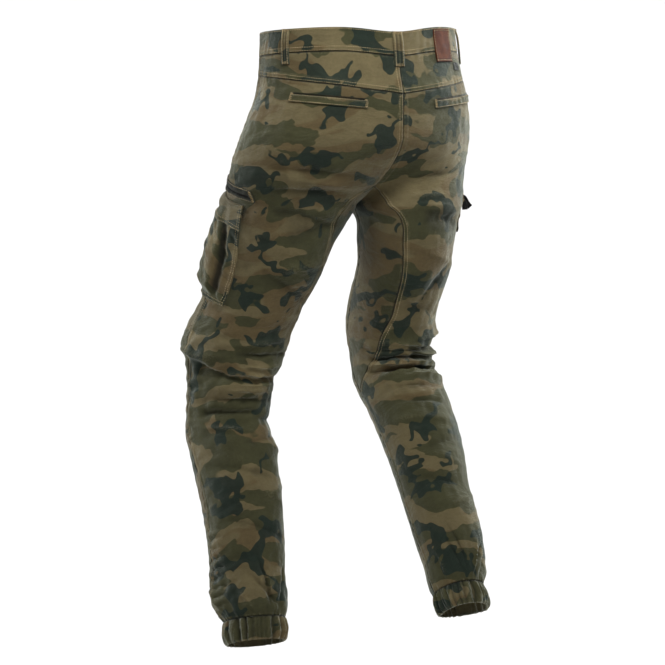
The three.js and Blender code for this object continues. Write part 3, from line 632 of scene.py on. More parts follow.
def bar_tack(group, line):
    """A dense block of short stitches across a line's own direction."""
    points, normals = line
    across = np.cross(points[-1] - points[0], normals[0])
    across /= np.linalg.norm(across)
    for shift in TACK_ROWS:
        sew(group, (points + across * shift, normals), TACK)


# ------------------------------------------------------------------ procedural materials
class Nodes:
    """A material's node tree, built by short calls."""

    def __init__(self, name):
        self.material = bpy.data.materials.new(name)
        self.material.use_nodes = True
        self.tree = self.material.node_tree
        self.shader = self.tree.nodes["Principled BSDF"]

    def add(self, kind, settings=None, **inputs):
        node = self.tree.nodes.new(kind)
        for key, value in (settings or {}).items():
            setattr(node, key, value)
        for key, value in inputs.items():
            self.feed(node.inputs[key.replace("_", " ")], value)
        return node

    def feed(self, socket, value):
        if isinstance(value, bpy.types.NodeSocket):
            self.tree.links.new(value, socket)
        else:
            socket.default_value = value

    def math(self, operation, a, b=0.0, c=0.0, clamp=False):
        node = self.tree.nodes.new("ShaderNodeMath")
        node.operation, node.use_clamp = operation, clamp
        for socket, value in zip(node.inputs, (a, b, c)):
            self.feed(socket, value)
        return node.outputs[0]

    def times(self, a, b, clamp=False):
        return self.math("MULTIPLY", a, b, clamp=clamp)

    def uv(self):
        return self.add("ShaderNodeUVMap", {"uv_map": "cloth"}).outputs["UV"]

    def place(self):
        return self.add("ShaderNodeTexCoord").outputs["Object"]

    def marks(self):
        """The mesh's own marks: rubbing with painted highlight, painted shade, and the wrong side."""
        colour = self.add("ShaderNodeAttribute", {"attribute_name": "marks_and_painted_light"}).outputs["Color"]
        return self.add("ShaderNodeSeparateColor", Color=colour).outputs

    def noise(self, vector, scale, detail=2.0, roughness=0.5):
        return self.add("ShaderNodeTexNoise", Vector=vector, Scale=scale, Detail=detail,
                        Roughness=roughness).outputs["Fac"]

    def wander(self, vector, scale, reach, detail=0.0):
        """The place moved about by up to half of reach, differently from spot to spot."""
        noise = self.add("ShaderNodeTexNoise", Vector=vector, Scale=scale, Detail=detail)
        away = self.vectors("SUBTRACT", noise.outputs["Color"], (0.5, 0.5, 0.5))
        return self.vectors("MULTIPLY_ADD", away, (reach, reach, 0), vector)

    def vectors(self, operation, *values):
        node = self.add("ShaderNodeVectorMath", {"operation": operation})
        for socket, value in zip(node.inputs, values):
            self.feed(socket, value)
        return node.outputs[0]

    def stretched(self, vector, scale, place=(0, 0, 0)):
        node = self.add("ShaderNodeMapping", Vector=vector, Scale=scale, Location=place)
        return node.outputs["Vector"]

    def steps(self, value, low, high):
        settings = {"interpolation_type": "SMOOTHSTEP"}
        return self.add("ShaderNodeMapRange", settings, Value=value, From_Min=low, From_Max=high).outputs["Result"]

    def mix(self, share, low, high, blend="MIX"):
        node = self.tree.nodes.new("ShaderNodeMix")
        node.data_type, node.blend_type = "RGBA", blend
        self.feed(node.inputs[0], share)
        self.feed(node.inputs[6], low)
        self.feed(node.inputs[7], high)
        return node.outputs[2]

    def bump(self, height, distance, strength=1.0, normal=None):
        node = self.add("ShaderNodeBump", Height=height, Distance=distance, Strength=strength)
        if normal is not None:
            self.feed(node.inputs["Normal"], normal)
        return node.outputs["Normal"]

    def set(self, **inputs):
        for key, value in inputs.items():
            self.feed(self.shader.inputs[key.replace("_", " ")], value)


def tone(red, green, blue):
    """Linear colour from one picked in display values."""
    linear = [value / 12.92 if value <= 0.04045 else ((value + 0.055) / 1.055) ** 2.4
              for value in (red / 255, green / 255, blue / 255)]
    return (*linear, 1)


CAMO = {
    "khaki": tone(106, 96, 68),
    "brown": tone(92, 77, 51),
    "olive": tone(63, 64, 42),
    "dark": tone(34, 45, 38),
    # a pale tone for wear and painted highlight, and a near-black tone for painted shade
    "worn": tone(142, 134, 104),
    "shade_paint": tone(20, 21, 17),
}


def weave(nodes, uv, pitch=0.0011):
    """Height of a twill weave: threads crossed in slanting ribs."""
    turned = nodes.add("ShaderNodeVectorRotate", {"rotation_type": "Z_AXIS"}, Vector=uv, Angle=math.radians(62))
    scaled = nodes.stretched(turned.outputs["Vector"], (1 / pitch, 0.35 / pitch, 1))
    ribs = nodes.add("ShaderNodeTexWave", {"wave_profile": "SIN"}, Vector=scaled, Scale=0.314, Distortion=1.2)
    ribs.inputs["Detail"].default_value = 1.0
    return ribs.outputs["Fac"]


# Print colours over the khaki: stretch and place of the noise, its detail, edge and share of the tone.
PRINT = {
    "brown": ((7, 21, 1), (3, 7, 0), 2.0, (0.49, 0.54), 0.7),
    "olive": ((9, 23, 1), (31, 12, 0), 1.2, (0.532, 0.542), 0.92),
    "dark": ((19, 25, 1), (11, 43, 0), 0.0, (0.6, 0.614), 0.95),
}
WANDER = {  # scale, reach and detail of what bends the print's edges
    "soft": (11.0, 0.05), "lobed": (44.0, 0.024, 1.0), "bent": (12.0, 0.04), "limbs": (54.0, 0.046),
}
MORE_OLIVE = {"below": -0.62, "above": -0.44, "by": 0.08}  # heights in metres: more of it on the lower legs


def camouflage(name, shade=1.0):
    """Four-tone woodland print on cotton twill, from the cloth's own metres."""
    nodes = Nodes(name)
    uv = nodes.uv()
    # the print's edges: a broad wander, and for the crisp colours lobes with rounded ends
    soft = nodes.wander(uv, *WANDER["soft"])
    lobed = nodes.wander(soft, *WANDER["lobed"])
    limbs = nodes.wander(nodes.wander(uv, *WANDER["bent"]), *WANDER["limbs"])
    height = nodes.add("ShaderNodeSeparateXYZ", Vector=nodes.place()).outputs["Z"]
    below = nodes.math("SUBTRACT", 1.0, nodes.steps(height, MORE_OLIVE["below"], MORE_OLIVE["above"]))
    colour = CAMO["khaki"]
    for tint, place in (("brown", soft), ("olive", lobed), ("dark", limbs)):
        stretch, start, detail, edge, share = PRINT[tint]
        spots = nodes.noise(nodes.stretched(place, stretch, start), 1.0, detail)
        if tint == "olive":
            spots = nodes.math("MULTIPLY_ADD", below, MORE_OLIVE["by"], spots)
        colour = nodes.mix(nodes.times(nodes.steps(spots, *edge), share), colour, CAMO[tint])

    # yarn and dye unevenness, wear and painted highlight on ridges, painted shade in grooves and folds, paler wrong
    # side
    yarn = nodes.noise(nodes.stretched(uv, (420, 1900, 1)), 1.0, 2.0)
    cloudy = nodes.noise(uv, 24.0, 4.0, 0.6)
    flecks = nodes.noise(nodes.stretched(uv, (190, 260, 1)), 1.0, 3.0, 0.6)
    level = nodes.math("ADD", nodes.times(yarn, 0.4), nodes.times(cloudy, 0.6))
    level = nodes.math("ADD", level, nodes.times(flecks, 0.4))
    # shade below 1 paints the whole print darker; the gusset's copy uses it as painted shade
    level = nodes.times(nodes.math("ADD", level, 0.3), shade)
    grey = nodes.add("ShaderNodeCombineColor", Red=level, Green=level, Blue=level).outputs[0]
    colour = nodes.mix(1.0, colour, grey, "MULTIPLY")
    marks = nodes.marks()
    rubbed = nodes.steps(nodes.noise(uv, 330.0, 3.0, 0.6), 0.38, 0.66)
    # the red mark: wear, with painted highlight on fold and gather ridges
    worn = nodes.times(marks["Red"], nodes.times(rubbed, 0.6), clamp=True)
    colour = nodes.mix(worn, colour, CAMO["worn"])
    # painted shade: the green mark darkens seam grooves, fold and gather troughs, gutters, slots and the welt's
    # mouth
    colour = nodes.mix(nodes.times(marks["Green"], 0.88), colour, CAMO["shade_paint"])
    colour = nodes.mix(nodes.times(marks["Blue"], 0.45), colour, CAMO["khaki"])

    ribs = nodes.math("ADD", weave(nodes, uv), nodes.times(yarn, 0.5))
    wrinkles = nodes.noise(nodes.stretched(nodes.wander(uv, 25.0, 0.03), (26, 64, 1)), 1.0, 3.0, 0.55)
    rough = nodes.math("ADD", 0.84, nodes.times(yarn, 0.16), clamp=True)
    normal = nodes.bump(ribs, 0.00035, 0.7, nodes.bump(wrinkles, 0.005, 0.5))
    nodes.set(Base_Color=colour, Roughness=rough, Normal=normal)
    nodes.set(Sheen_Weight=0.6, Sheen_Roughness=0.34, Sheen_Tint=(0.88, 0.93, 0.82, 1), Specular_IOR_Level=0.2)
    return nodes.material


def woven(name, colour, pale, pitch=0.0011, roughness=0.86):
    """Plain dark weave for tapes, tabs and ribbon, rubbed paler on its high threads."""
    nodes = Nodes(name)
    uv, marks = nodes.uv(), nodes.marks()
    ribs = weave(nodes, uv, pitch)
    patchy = nodes.steps(nodes.noise(uv, 190.0, 3.0, 0.6), 0.4, 0.72)
    rubbed = nodes.times(patchy, nodes.math("MULTIPLY_ADD", ribs, 0.5, 0.3))
    rubbed = nodes.math("ADD", rubbed, nodes.times(marks["Red"], 0.6), clamp=True)
    # the green mark is painted shade, here in the zip's slot
    base = nodes.mix(nodes.times(marks["Green"], 0.85), nodes.mix(rubbed, colour, pale), CAMO["shade_paint"])
    nodes.set(Base_Color=base, Roughness=roughness, Normal=nodes.bump(ribs, 0.0004, 0.8))
    nodes.set(Sheen_Weight=0.1, Specular_IOR_Level=0.12)
    return nodes.material


def thread_material():
    nodes = Nodes("topstitch_thread")
    place = nodes.place()
    uneven = nodes.steps(nodes.noise(place, 46.0, 3.0, 0.6), 0.35, 0.65)
    twist = nodes.add("ShaderNodeTexWave", {"bands_direction": "DIAGONAL"}, Vector=place, Scale=900.0)
    nodes.set(Base_Color=nodes.mix(uneven, tone(146, 126, 86), tone(188, 168, 126)), Roughness=0.7,
              Normal=nodes.bump(twist.outputs["Fac"], 0.0001, 0.6), Sheen_Weight=0.1)
    return nodes.material


def leather_material():
    nodes = Nodes("brown_leather")
    uv = nodes.uv()
    cells = nodes.add("ShaderNodeTexVoronoi", {"feature": "DISTANCE_TO_EDGE"}, Vector=uv, Scale=950.0)
    grain = nodes.steps(cells.outputs["Distance"], 0.0, 0.25)
    cloudy = nodes.noise(uv, 60.0, 4.0, 0.6)
    colour = nodes.mix(nodes.steps(cloudy, 0.35, 0.7), tone(68, 32, 16), tone(92, 50, 28))
    # the green mark is painted shade, in the patch's pressed line and on its rolled edges
    colour = nodes.mix(nodes.times(nodes.marks()["Green"], 0.8), colour, tone(44, 27, 20))
    nodes.set(Base_Color=colour, Roughness=nodes.math("MULTIPLY_ADD", cloudy, 0.3, 0.5),
              Normal=nodes.bump(grain, 0.00025, 0.5), Specular_IOR_Level=0.08)
    return nodes.material


def metal_material(name, colour, dark):
    nodes = Nodes(name)
    place = nodes.place()
    tarnish = nodes.noise(place, 260.0, 4.0, 0.65)
    scratches = nodes.noise(nodes.stretched(place, (900, 900, 2400)), 1.0, 2.0)
    nodes.set(Base_Color=nodes.mix(nodes.steps(tarnish, 0.4, 0.68), colour, dark), Metallic=1.0,
              Roughness=nodes.math("MULTIPLY_ADD", tarnish, 0.4, 0.22), Normal=nodes.bump(scratches, 0.00008, 0.5))
    return nodes.material


# ------------------------------------------------------------------ leg panels
SPACING = 2.7

# Where on the printed cloth each piece was cut, in metres.
PRINT_AT = {
    "front_left": (1.30, 0.40), "front_right": (4.10, 2.30), "back_left": (7.20, 1.10), "back_right": (2.75, 5.35),
    "back_yoke_left": (5.60, 3.10), "back_yoke_right": (8.45, 0.75), "gusset_left": (0.55, 6.20),
    "gusset_right": (3.35, 8.10), "waistband": (6.40, 7.30), "cuff_left": (1.95, 9.40), "cuff_right": (9.15, 4.45),
    "cargo_pocket_left": (4.85, 6.65), "cargo_pocket_right": (0.25, 3.85), "cargo_flap_left": (7.75, 9.05),
    "cargo_flap_right": (5.15, 0.35), "cargo_zip_left": (3.05, 3.35), "cargo_zip_right": (8.85, 7.95),
}


def band_drop(t):
    return BAND_SLOPE * np.cos(np.pi * t) + BACK_DIP["depth"] * bell(1, t, BACK_DIP["width"])


def yoke_drop(t):
    share = np.clip((t - OUTSEAM_T) / (1 - OUTSEAM_T), 0, 1)
    return (YOKE_SIDE_Z - YOKE_BACK_Z) * share ** YOKE_CURVE


def row_height(row, t):
    """Height of a row where it crosses t: the top rows follow the waistband, the next ones the yoke seam."""
    band = np.clip((YOKE_SIDE_Z - row) / (YOKE_SIDE_Z + BAND_HALF), 0, 1)
    yoke = np.clip((row - WARP_END_Z) / (YOKE_SIDE_Z - WARP_END_Z), 0, 1)
    below = row <= YOKE_SIDE_Z
    return row - yoke_drop(t) * np.where(below, yoke, 1 - band) - np.where(below, 0, band_drop(t) * band)


def back_edge(z):
    return np.where((z <= GUSSET_TOP_Z) & (z >= GUSSET_END_Z), gusset_t(z)[0], 1.0)


def print_uv(name, across, down):
    u, v = PRINT_AT.get(name, (0.0, 0.0))
    return np.stack([across * 0.001 + u, v - down * 0.001], -1)


SEAM_LAP = 0.25
SEAM_DRAW = 9.0


def shut_seam(points, distance, column):
    """Draws an edge at the centre seam in past the middle plane, so no light shows between the two sides."""
    edge = points[:, column, 0]
    joined = smoothstep(points[:, column, 2], CROTCH_Z, CROTCH_Z + 6) * (1 - smoothstep(np.abs(edge), 3, 5))
    away = edge + np.sign(np.mean(points[..., 0])) * SEAM_LAP
    points[..., 0] -= (away * joined)[:, None] * (1 - smoothstep(distance, 0, SEAM_DRAW))


def panel(name, side, top, bottom, first, last, width, felled=()):
    """A panel of the trousers between two edges, each a share of the way round at a given height."""
    rows = top + (bottom - top) * spaced(top - bottom, SPACING, SEAM_NEAR[:7])
    row, share = np.meshgrid(rows, spaced(width, SPACING, SEAM_NEAR), indexing="ij")
    near = lerp(first(row), last(row), share)
    z = row_height(row, near)
    t = lerp(first(z), last(z), share)
    base, out = raised(side, t, z, np.zeros_like(t))
    across, down = distances(base, 1), distances(base, 0)
    edges = {
        "first": (across, z), "last": (across[:, -1:] - across, z),
        "top": (down, t * ROUND_LENGTH), "bottom": (down[-1:] - down, t * ROUND_LENGTH),
    }
    drape = drape_height(side, t, z)
    fold = drape + 0.4 * folds_height(FOLDS[side], t, z) * edge_fade(t)
    # fold ridges painted paler, as wear and painted highlight; fold troughs painted darker, as painted shade
    height, wear_and_highlight = drape.copy(), FOLD_WEAR_AND_PAINTED_LIGHT["ridge"] * smoothstep(fold, 0.8, 4.0)
    painted_shade = FOLD_WEAR_AND_PAINTED_LIGHT["trough"] * smoothstep(-fold, 0.6, 4.5)
    for k, (edge, (distance, along)) in enumerate(edges.items()):
        height += seam_relief(distance, along, edge in felled, 100 * k + 7)
        # wear on each seam's raised edges, and painted shade in its groove
        rubbed, shade_paint = seam_wear_and_shade(distance, along, edge in felled, 100 * k + 7)
        wear_and_highlight, painted_shade = wear_and_highlight + rubbed, np.maximum(painted_shade, shade_paint)
    outer, inner = base + out * height[..., None], base + out * (drape - WALL)[..., None]
    for distance, column in ((across, 0), (across[:, -1:] - across, -1)):
        if np.max(np.abs(base[0, column, 0])) < 2:
            shut_seam(outer, distance, column)
            shut_seam(inner, distance, column)
    middle = across.shape[1] // 2
    uv = print_uv(name, across - across[:, middle:middle + 1], down[:, middle:middle + 1] + 0 * across)
    look = SHADED_GUSSET_CLOTH if "gusset" in name else CAMO_CLOTH
    return add_cloth(name, outer, inner, out, uv, (wear_and_highlight, painted_shade), look,
                     mirrored=side == "right"), rows


def share_of(rows, z):
    """Share of the way down a panel's rows where a height lies."""
    return float(np.interp(-z, -rows, np.linspace(0, 1, len(rows))))


def always(value):
    return lambda z: np.full_like(z, value)


DOUBLE = (2.3, 7.2)  # insets of a double row of topstitching


def sew_panels(side):
    front, _ = panel(f"front_{side}", side, -BAND_HALF, LEG_END_Z[side], always(0.0), always(OUTSEAM_T), 200)
    yoke, _ = panel(f"back_yoke_{side}", side, -BAND_HALF, YOKE_SIDE_Z, always(OUTSEAM_T), always(1.0), 270,
                    ("bottom", "last", "first") if side == "left" else ("bottom", "first"))
    back, rows = panel(f"back_{side}", side, YOKE_SIDE_Z, LEG_END_Z[side], always(OUTSEAM_T), back_edge, 262,
                       ("first", "last"))
    panel(f"gusset_{side}", side, GUSSET_TOP_Z, GUSSET_END_Z, back_edge, always(1.0), 78)
    crotch, gusset_end = share_of(rows, GUSSET_TOP_Z), share_of(rows, GUSSET_END_Z)
    for inset in DOUBLE:
        sew(f"back_{side}", back.line("first", inset))
        sew(f"back_{side}", back.line("last", inset, crotch + 0.012, gusset_end))
        sew(f"back_{side}", yoke.line("bottom", inset, 0.01, 0.99))
        sew(f"back_{side}", yoke.line("first", inset))
        if side == "left":
            sew("centre_back", back.line("last", inset, 0.0, crotch - 0.004))
            sew("centre_back", yoke.line("last", inset))
            sew("front_rise", front.line("first", inset, 0.17, share_of(rows, -244)))


# ------------------------------------------------------------------ waistband and cuffs
def raised_round(way, z, height):
    """As raised, all the way round: way is 0 at centre front, 1 at centre back by the left, 2 at the front."""
    left = raised("left", np.minimum(way, 1), z, height)
    right = raised("right", 2 - np.maximum(way, 1), z, height)
    on_left = (way <= 1)[..., None]
    return tuple(np.where(on_left, a, b) for a, b in zip(left, right))


def close(points):
    return np.concatenate([points, points[:, :1]], 1)


def make_waistband():
    count = int(2 * WAIST_LENGTH / (SPACING * 0.9))
    ways = np.linspace(0, 2, count, endpoint=False)
    down = spaced(2 * BAND_HALF, 2.6, (0.35, 0.9, 1.8, 3.2)) * 2 * BAND_HALF
    down, way = np.meshgrid(down, ways, indexing="ij")
    t = np.where(way <= 1, way, 2 - way)
    along = way * WAIST_LENGTH
    height = BAND_PROUD + hem_height(down, 1.5, 5.0, 0.25) + 0.3 * ripples(along, down, 61, 60)
    height += seam_relief(2 * BAND_HALF - down, along, False, 67) + 0.16 * ripples(along, down, 71, 9, 0.4)
    z = BAND_HALF - down - band_drop(t)
    outer, out = raised_round(way, z, height)
    inner, _ = raised_round(way, z, BAND_PROUD - BAND_WALL + 0 * height)
    # wear by the seam and along the top edge; painted shade in the seam's groove
    wear_and_highlight, painted_shade = seam_wear_and_shade(2 * BAND_HALF - down, along, False, 67)
    wear_and_highlight = wear_and_highlight + 0.55 * bell(down, 0.8, 1.3)
    uv = print_uv("waistband", close(along), close(down))
    uv[:, -1, 0] = uv[:, 0, 0] + 2 * WAIST_LENGTH * 0.001
    grid = add_cloth("waistband", outer, inner, out, uv, (wear_and_highlight, painted_shade), ring=True)
    for edge, inset in (("bottom", 2.4), ("bottom", 8.0), ("top", 3.4)):
        sew("waistband", grid.line(edge, inset))


CUFF_PROFILE = [  # share of the height down, how far it stands out, share of the gathers' depth
    [0.0, -0.9, 0.25], [0.06, 0.3, 0.5], [0.2, 1.0, 1.0], [0.5, 1.3, 1.1], [0.8, 1.0, 1.0], [0.94, 0.2, 0.7],
    [1.0, -1.2, 0.5],
]
GATHERS = {"waves": 23, "depth": 2.8, "inside": 0.5, "count": 240, "crease": 0.5, "sharp": 2.4}
CUFF_RISE = {"left": 0.0, "right": 0.28}  # share of the height by which a hem is higher in front
cuff_profile = track(CUFF_PROFILE)


def make_cuff(side):
    shares = np.linspace(0, 1, GATHERS["count"], endpoint=False)
    down = spaced(CUFF_HEIGHT[side], 2.2, (0.5, 1.2, 2.2)) * CUFF_HEIGHT[side]
    down, t = np.meshgrid(down, shares, indexing="ij")
    proud, depth = cuff_profile(down / CUFF_HEIGHT[side])
    turn, start = 2 * np.pi * t, 1.0 + SIDES.index(side)
    drift = 2.1 * np.sin(3 * turn + start) + 1.3 * np.sin(5 * turn) + 0.3 * np.sin(down / 6 + 4 * turn)
    amount = 0.55 + 0.4 * np.sin(4 * turn + start) + 0.3 * np.sin(7 * turn + 2)
    wave = np.cos(GATHERS["waves"] * turn + drift)
    gather = amount * (wave - GATHERS["crease"] * np.exp(GATHERS["sharp"] * (-wave - 1)))
    gather += 0.2 * np.cos(31 * turn + 2 * drift)
    gather += 0.12 * np.sin(52 * turn + down / 3)
    z = LEG_END_Z[side] - down * (1 - CUFF_RISE[side] * np.clip(np.sin(turn), 0, 1))
    height = proud + GATHERS["depth"] * depth * gather
    outer, out = raised(side, t, z, height)
    inner, _ = raised(side, t, z, proud - WALL + GATHERS["inside"] * GATHERS["depth"] * depth * gather)
    along = t * float(distances(close(outer), 1)[:, -1].mean())
    # gather ridges painted paler as wear and painted highlight, the hem's bottom edge worn; painted shade at the
    # top seam and in the gathers' troughs
    wear_and_highlight = 0.3 * np.clip(gather, 0, 1) + 0.6 * bell(CUFF_HEIGHT[side], down, 2.2)
    painted_shade = bell(down, 0, 1.8) + 0.5 * np.clip(-gather, 0, 1)
    uv = print_uv(f"cuff_{side}", close(along), close(down))
    uv[:, -1, 0] = uv[:, 0, 0] + along.max() * 0.001
    add_cloth(f"cuff_{side}", outer, inner, out, uv, (wear_and_highlight, painted_shade), ring=True, mirrored=side == "right")


# ------------------------------------------------------------------ pieces sewn on the panels
def sewn_on(name, side, size, spacing, thickness, place, relief, look=None,
            uv_name=None):
    """A piece that lies on the cloth. place gives t, z and underside height; relief shapes its outer face."""
    near = (0.35, 0.9, 1.8, 3.0)
    across, down = np.meshgrid(spaced(size[0], spacing, near), spaced(size[1], spacing, near))
    t, z, height = place(across, down)
    lift = height + drape_height(side, t, z)
    base, out = raised(side, t, z, lift)
    run, fall = distances(base, 1), distances(base, 0)
    border = np.minimum(np.minimum(run, run[:, -1:] - run), np.minimum(fall, fall[-1:] - fall))
    bumps, wear_and_highlight, painted_shade = relief(across, down, border, run, fall)
    outer = base + out * (thickness + bumps)[..., None]
    return add_cloth(name, outer, base, out, print_uv(uv_name or name, run, fall), (wear_and_highlight, painted_shade),
                     look, mirrored=side == "right")


def turned_edge(rise, seed, wear_and_highlight=0.75):
    """Relief of a piece whose edges are turned under and topstitched."""

    def relief(across, down, border, run, fall):
        bumps = hem_height(border, 1.0, 7.0, rise) + 0.16 * ripples(run, fall, seed, 12)
        uneven = 0.6 + 0.4 * ripples(run, fall, seed + 1, 15)
        rubbed = wear_and_highlight * uneven * bell(border, 0.8, 1.1)
        return bumps, rubbed + 0.12 * np.clip(bumps, 0, 1), 0.0 * border

    return relief


LOOP = {"width": 16.0, "wall": 1.8, "back": 0.607, "front": 0.26, "long": 56.0}
LOOP_PROFILE = track([
    [0, 1.5], [4, 1.7], [11, 3.2], [20, 3.7], [30, 3.4], [40, 2.6], [46, 1.9], [51, 1.3], [56, LIFT],
])


def loop_relief(across, border):
    """Rolled edges, a ridge along the middle where the folded edges meet, and pressed ends."""
    return 0.55 * bell(np.abs(across), 0.72, 0.2) + 0.35 * bell(across, 0, 0.14) + rolled(border, 0.9)


def belt_loop(name, middle):
    """A belt loop over the waistband; middle is its place all the way round, from 0 to 2."""
    across, down = np.meshgrid(np.linspace(-1, 1, 15), spaced(LOOP["long"], 2.0, (0.4, 1.0)) * LOOP["long"])
    way = middle + across * LOOP["width"] / 2 / WAIST_LENGTH
    centre_t = middle if middle <= 1 else 2 - middle
    t = np.where(way <= 1, way, 2 - way)
    drop = band_drop(t) if abs(centre_t - 1) < STEP else band_drop(np.full_like(t, centre_t))
    z = BAND_HALF - down - drop
    height = LOOP_PROFILE(down)[0]
    base, out = raised_round(way, z, height)
    border = np.minimum((1 - np.abs(across)) * LOOP["width"] / 2, np.minimum(down, LOOP["long"] - down))
    outer = base + out * (LOOP["wall"] - 0.3 + loop_relief(across, border))[..., None]
    wear_and_highlight = 0.9 * bell(np.abs(across), 0.78, 0.16) + 0.4 * bell(across, 0, 0.12)
    # painted shade in the grooves beside the middle ridge and at the loop's lower end against the band
    painted_shade = 0.6 * bell(np.abs(across), 0.36, 0.16) + bell(LOOP["long"], down, 1.4)
    uv = print_uv("waistband", across * LOOP["width"] / 2 + 37 * middle, down)
    grid = add_cloth(name, outer, base, out, uv, (wear_and_highlight, painted_shade))
    for edge in ("first", "last"):
        sew("loops", grid.line(edge, 3.2, 0.03, 0.97))
    for edge in ("top", "bottom"):
        bar_tack("loops", grid.line(edge, 3.4, 0.06, 0.94))


WELT = {"from": 0.633, "to": 0.89, "below": 28, "height": 15, "thickness": 1.6, "slit": 0.27}
CARGO = {"from": 0.27, "to": 0.495, "top": -228, "bottom": -397, "slant": -40, "hem": -14, "rise": 13}
FLAP = {"from": 0.262, "to": 0.502, "top": -216, "bottom": -255, "slant": -40, "ramp": 9, "clear": 1.2}
ZIP = {"from": 0.275, "to": 0.545, "top": -193, "bottom": -212, "slant": -39, "thickness": 1.4}
BELLOWS = {"ridge": 0.14, "half": 0.035, "height": 2.2, "gutter": 0.21, "bag": 0.31, "lip": 0.32, "gutter_shade": 0.225}
FULLNESS = {"mouth": 0.3, "full": 0.5, "closing": 0.84, "closed": 0.97}
POCKET_LIFT = {"front": 2.3, "middle": 1.4, "middle_from": 0.35, "border": 0.89}


def cargo_rise(across, down):
    inward = np.minimum(across, 1 - across)
    ridge = BELLOWS["height"] * bell(inward, BELLOWS["ridge"], BELLOWS["half"])
    bag = CARGO["rise"] * smoothstep(inward, BELLOWS["gutter"], BELLOWS["bag"])
    top = lerp(FULLNESS["mouth"], 1, smoothstep(down, 0, FULLNESS["full"]))
    return (ridge + bag) * top * (1 - smoothstep(down, FULLNESS["closing"], FULLNESS["closed"]))


def pocket_lift(across):
    front = lerp(POCKET_LIFT["front"], POCKET_LIFT["middle"], smoothstep(across, 0, POCKET_LIFT["middle_from"]))
    return lerp(front, LIFT, smoothstep(across, POCKET_LIFT["border"], 1))


def lay(piece, across, down):
    """The t and z of a place on a piece whose rows may slant."""
    slant = piece.get("slant", 0)
    z = lerp(piece["top"], piece["bottom"], down) + lerp(slant, piece.get("hem", slant), down) * across
    return lerp(piece["from"], piece["to"], across), z


def place_pocket(across, down):
    return *lay(CARGO, across, down), pocket_lift(across) + cargo_rise(across, down)


def pocket_relief(across, down, border, run, fall):
    """Turned border, soft crumples in the bag, and painted shade down in the gutter of the bellows."""
    bumps, wear_and_highlight, painted_shade = turned_edge(0.4, 201)(across, down, border, run, fall)
    inward = np.minimum(across, 1 - across)
    bag = smoothstep(inward, 0.26, 0.34) * (1 - smoothstep(down, 0.82, 0.95))
    bumps = bumps + bag * (1.1 * ripples(run, fall, 205, 46, 0.7) + 0.4 * ripples(run, fall, 206, 18))
    bumps = bumps + 0.5 * (1 - bag) * ripples(run, fall, 207, 22)
    lip = bell(inward, BELLOWS["lip"], 0.03) * smoothstep(down, 0.1, 0.3) * (1 - smoothstep(down, 0.8, 0.9))
    # painted shade down in the bellows' gutter
    gutter = bell(inward, BELLOWS["gutter_shade"], 0.04, 4) * (1 - smoothstep(down, 0.84, 0.95))
    return bumps, wear_and_highlight + 0.5 * lip, painted_shade + gutter


def place_flap(across, down):
    t, z = lay(FLAP, across, down)
    inside = np.clip((t - CARGO["from"]) / (CARGO["to"] - CARGO["from"]), 0, 1)
    top, hem = CARGO["top"] + CARGO["slant"] * inside, CARGO["bottom"] + CARGO["hem"] * inside
    under = np.clip((z - top) / (hem - top), 0, 1)
    ramp = smoothstep((FLAP["top"] - FLAP["bottom"]) * down, 0, FLAP["ramp"])
    return t, z, pocket_lift(inside) + (WALL + FLAP["clear"] + cargo_rise(inside, under)) * ramp


def place_zip(across, down):
    return *lay(ZIP, across, down), LIFT


ZIP_SLOT = {"middle": 0.62, "half": 0.1}  # the zip's place down the strip, and its half height


def zip_relief(across, down, border, run, fall):
    """Two stitched lips with the closed zip lying in the slot between them."""
    slot = bell(down, ZIP_SLOT["middle"], ZIP_SLOT["half"], 4)
    slot = slot * smoothstep(across, 0.02, 0.05) * (1 - smoothstep(across, 0.93, 0.96))
    bumps, wear_and_highlight, _ = turned_edge(0.5, 231, 0.9)(across, down, border, run, fall)
    lips = bell(np.abs(down - ZIP_SLOT["middle"]), 0.2, 0.06)
    # the slot is painted darker: painted shade in the recess
    return bumps * (1 - slot) + 0.5 * lips - 1.2 * slot, wear_and_highlight + 0.6 * lips, slot


TEETH = {"start": 6.0, "end": 0.92, "pitch": 1.5, "half": (0.45, 1.1), "stagger": 0.75, "low": 0.1, "high": 0.8}
BOX_FACES = np.array([(0, 1, 3, 2), (4, 6, 7, 5), (0, 4, 5, 1), (2, 3, 7, 6), (0, 2, 6, 4), (1, 5, 7, 3)])


def zip_teeth(grid, side, material):
    """The zip's teeth: two staggered rows of small blocks down in the slot."""
    rows, columns = grid.points.shape[:2]
    points, normals = grid.at(np.full(columns, ZIP_SLOT["middle"] * (rows - 1)), np.arange(columns))
    run = distances(points[None], 1)[0]

    def read(values, at):
        return np.stack([np.interp(at, run, values[:, i]) for i in range(3)], -1)

    verts = []
    for k, at in enumerate(np.arange(TEETH["start"], run[-1] * TEETH["end"], TEETH["pitch"])):
        point, out = read(points, at), read(normals, at)
        ahead = read(points, at + 1) - point
        across = np.cross(ahead, out)
        shift = TEETH["stagger"] * (1 if k % 2 else -1)
        for i in (-1, 1):
            for j in (-1, 1):
                corner = point + TEETH["half"][0] * i * ahead + (TEETH["half"][1] * j + shift) * across
                verts += [corner + TEETH["low"] * out, corner + TEETH["high"] * out]
    starts = np.arange(0, len(verts), 8)[:, None, None]
    mesh = make_mesh(f"zip_teeth_{side}", np.array(verts), (starts + BOX_FACES).reshape(-1, 4))
    add_piece(f"zip_teeth_{side}", mesh, material)


def place_welt(across, down):
    t = lerp(WELT["from"], WELT["to"], across)
    z = row_height(np.full_like(t, YOKE_SIDE_Z - WELT["below"]), t) + WELT["height"] * (0.5 - down)
    return t, z, LIFT


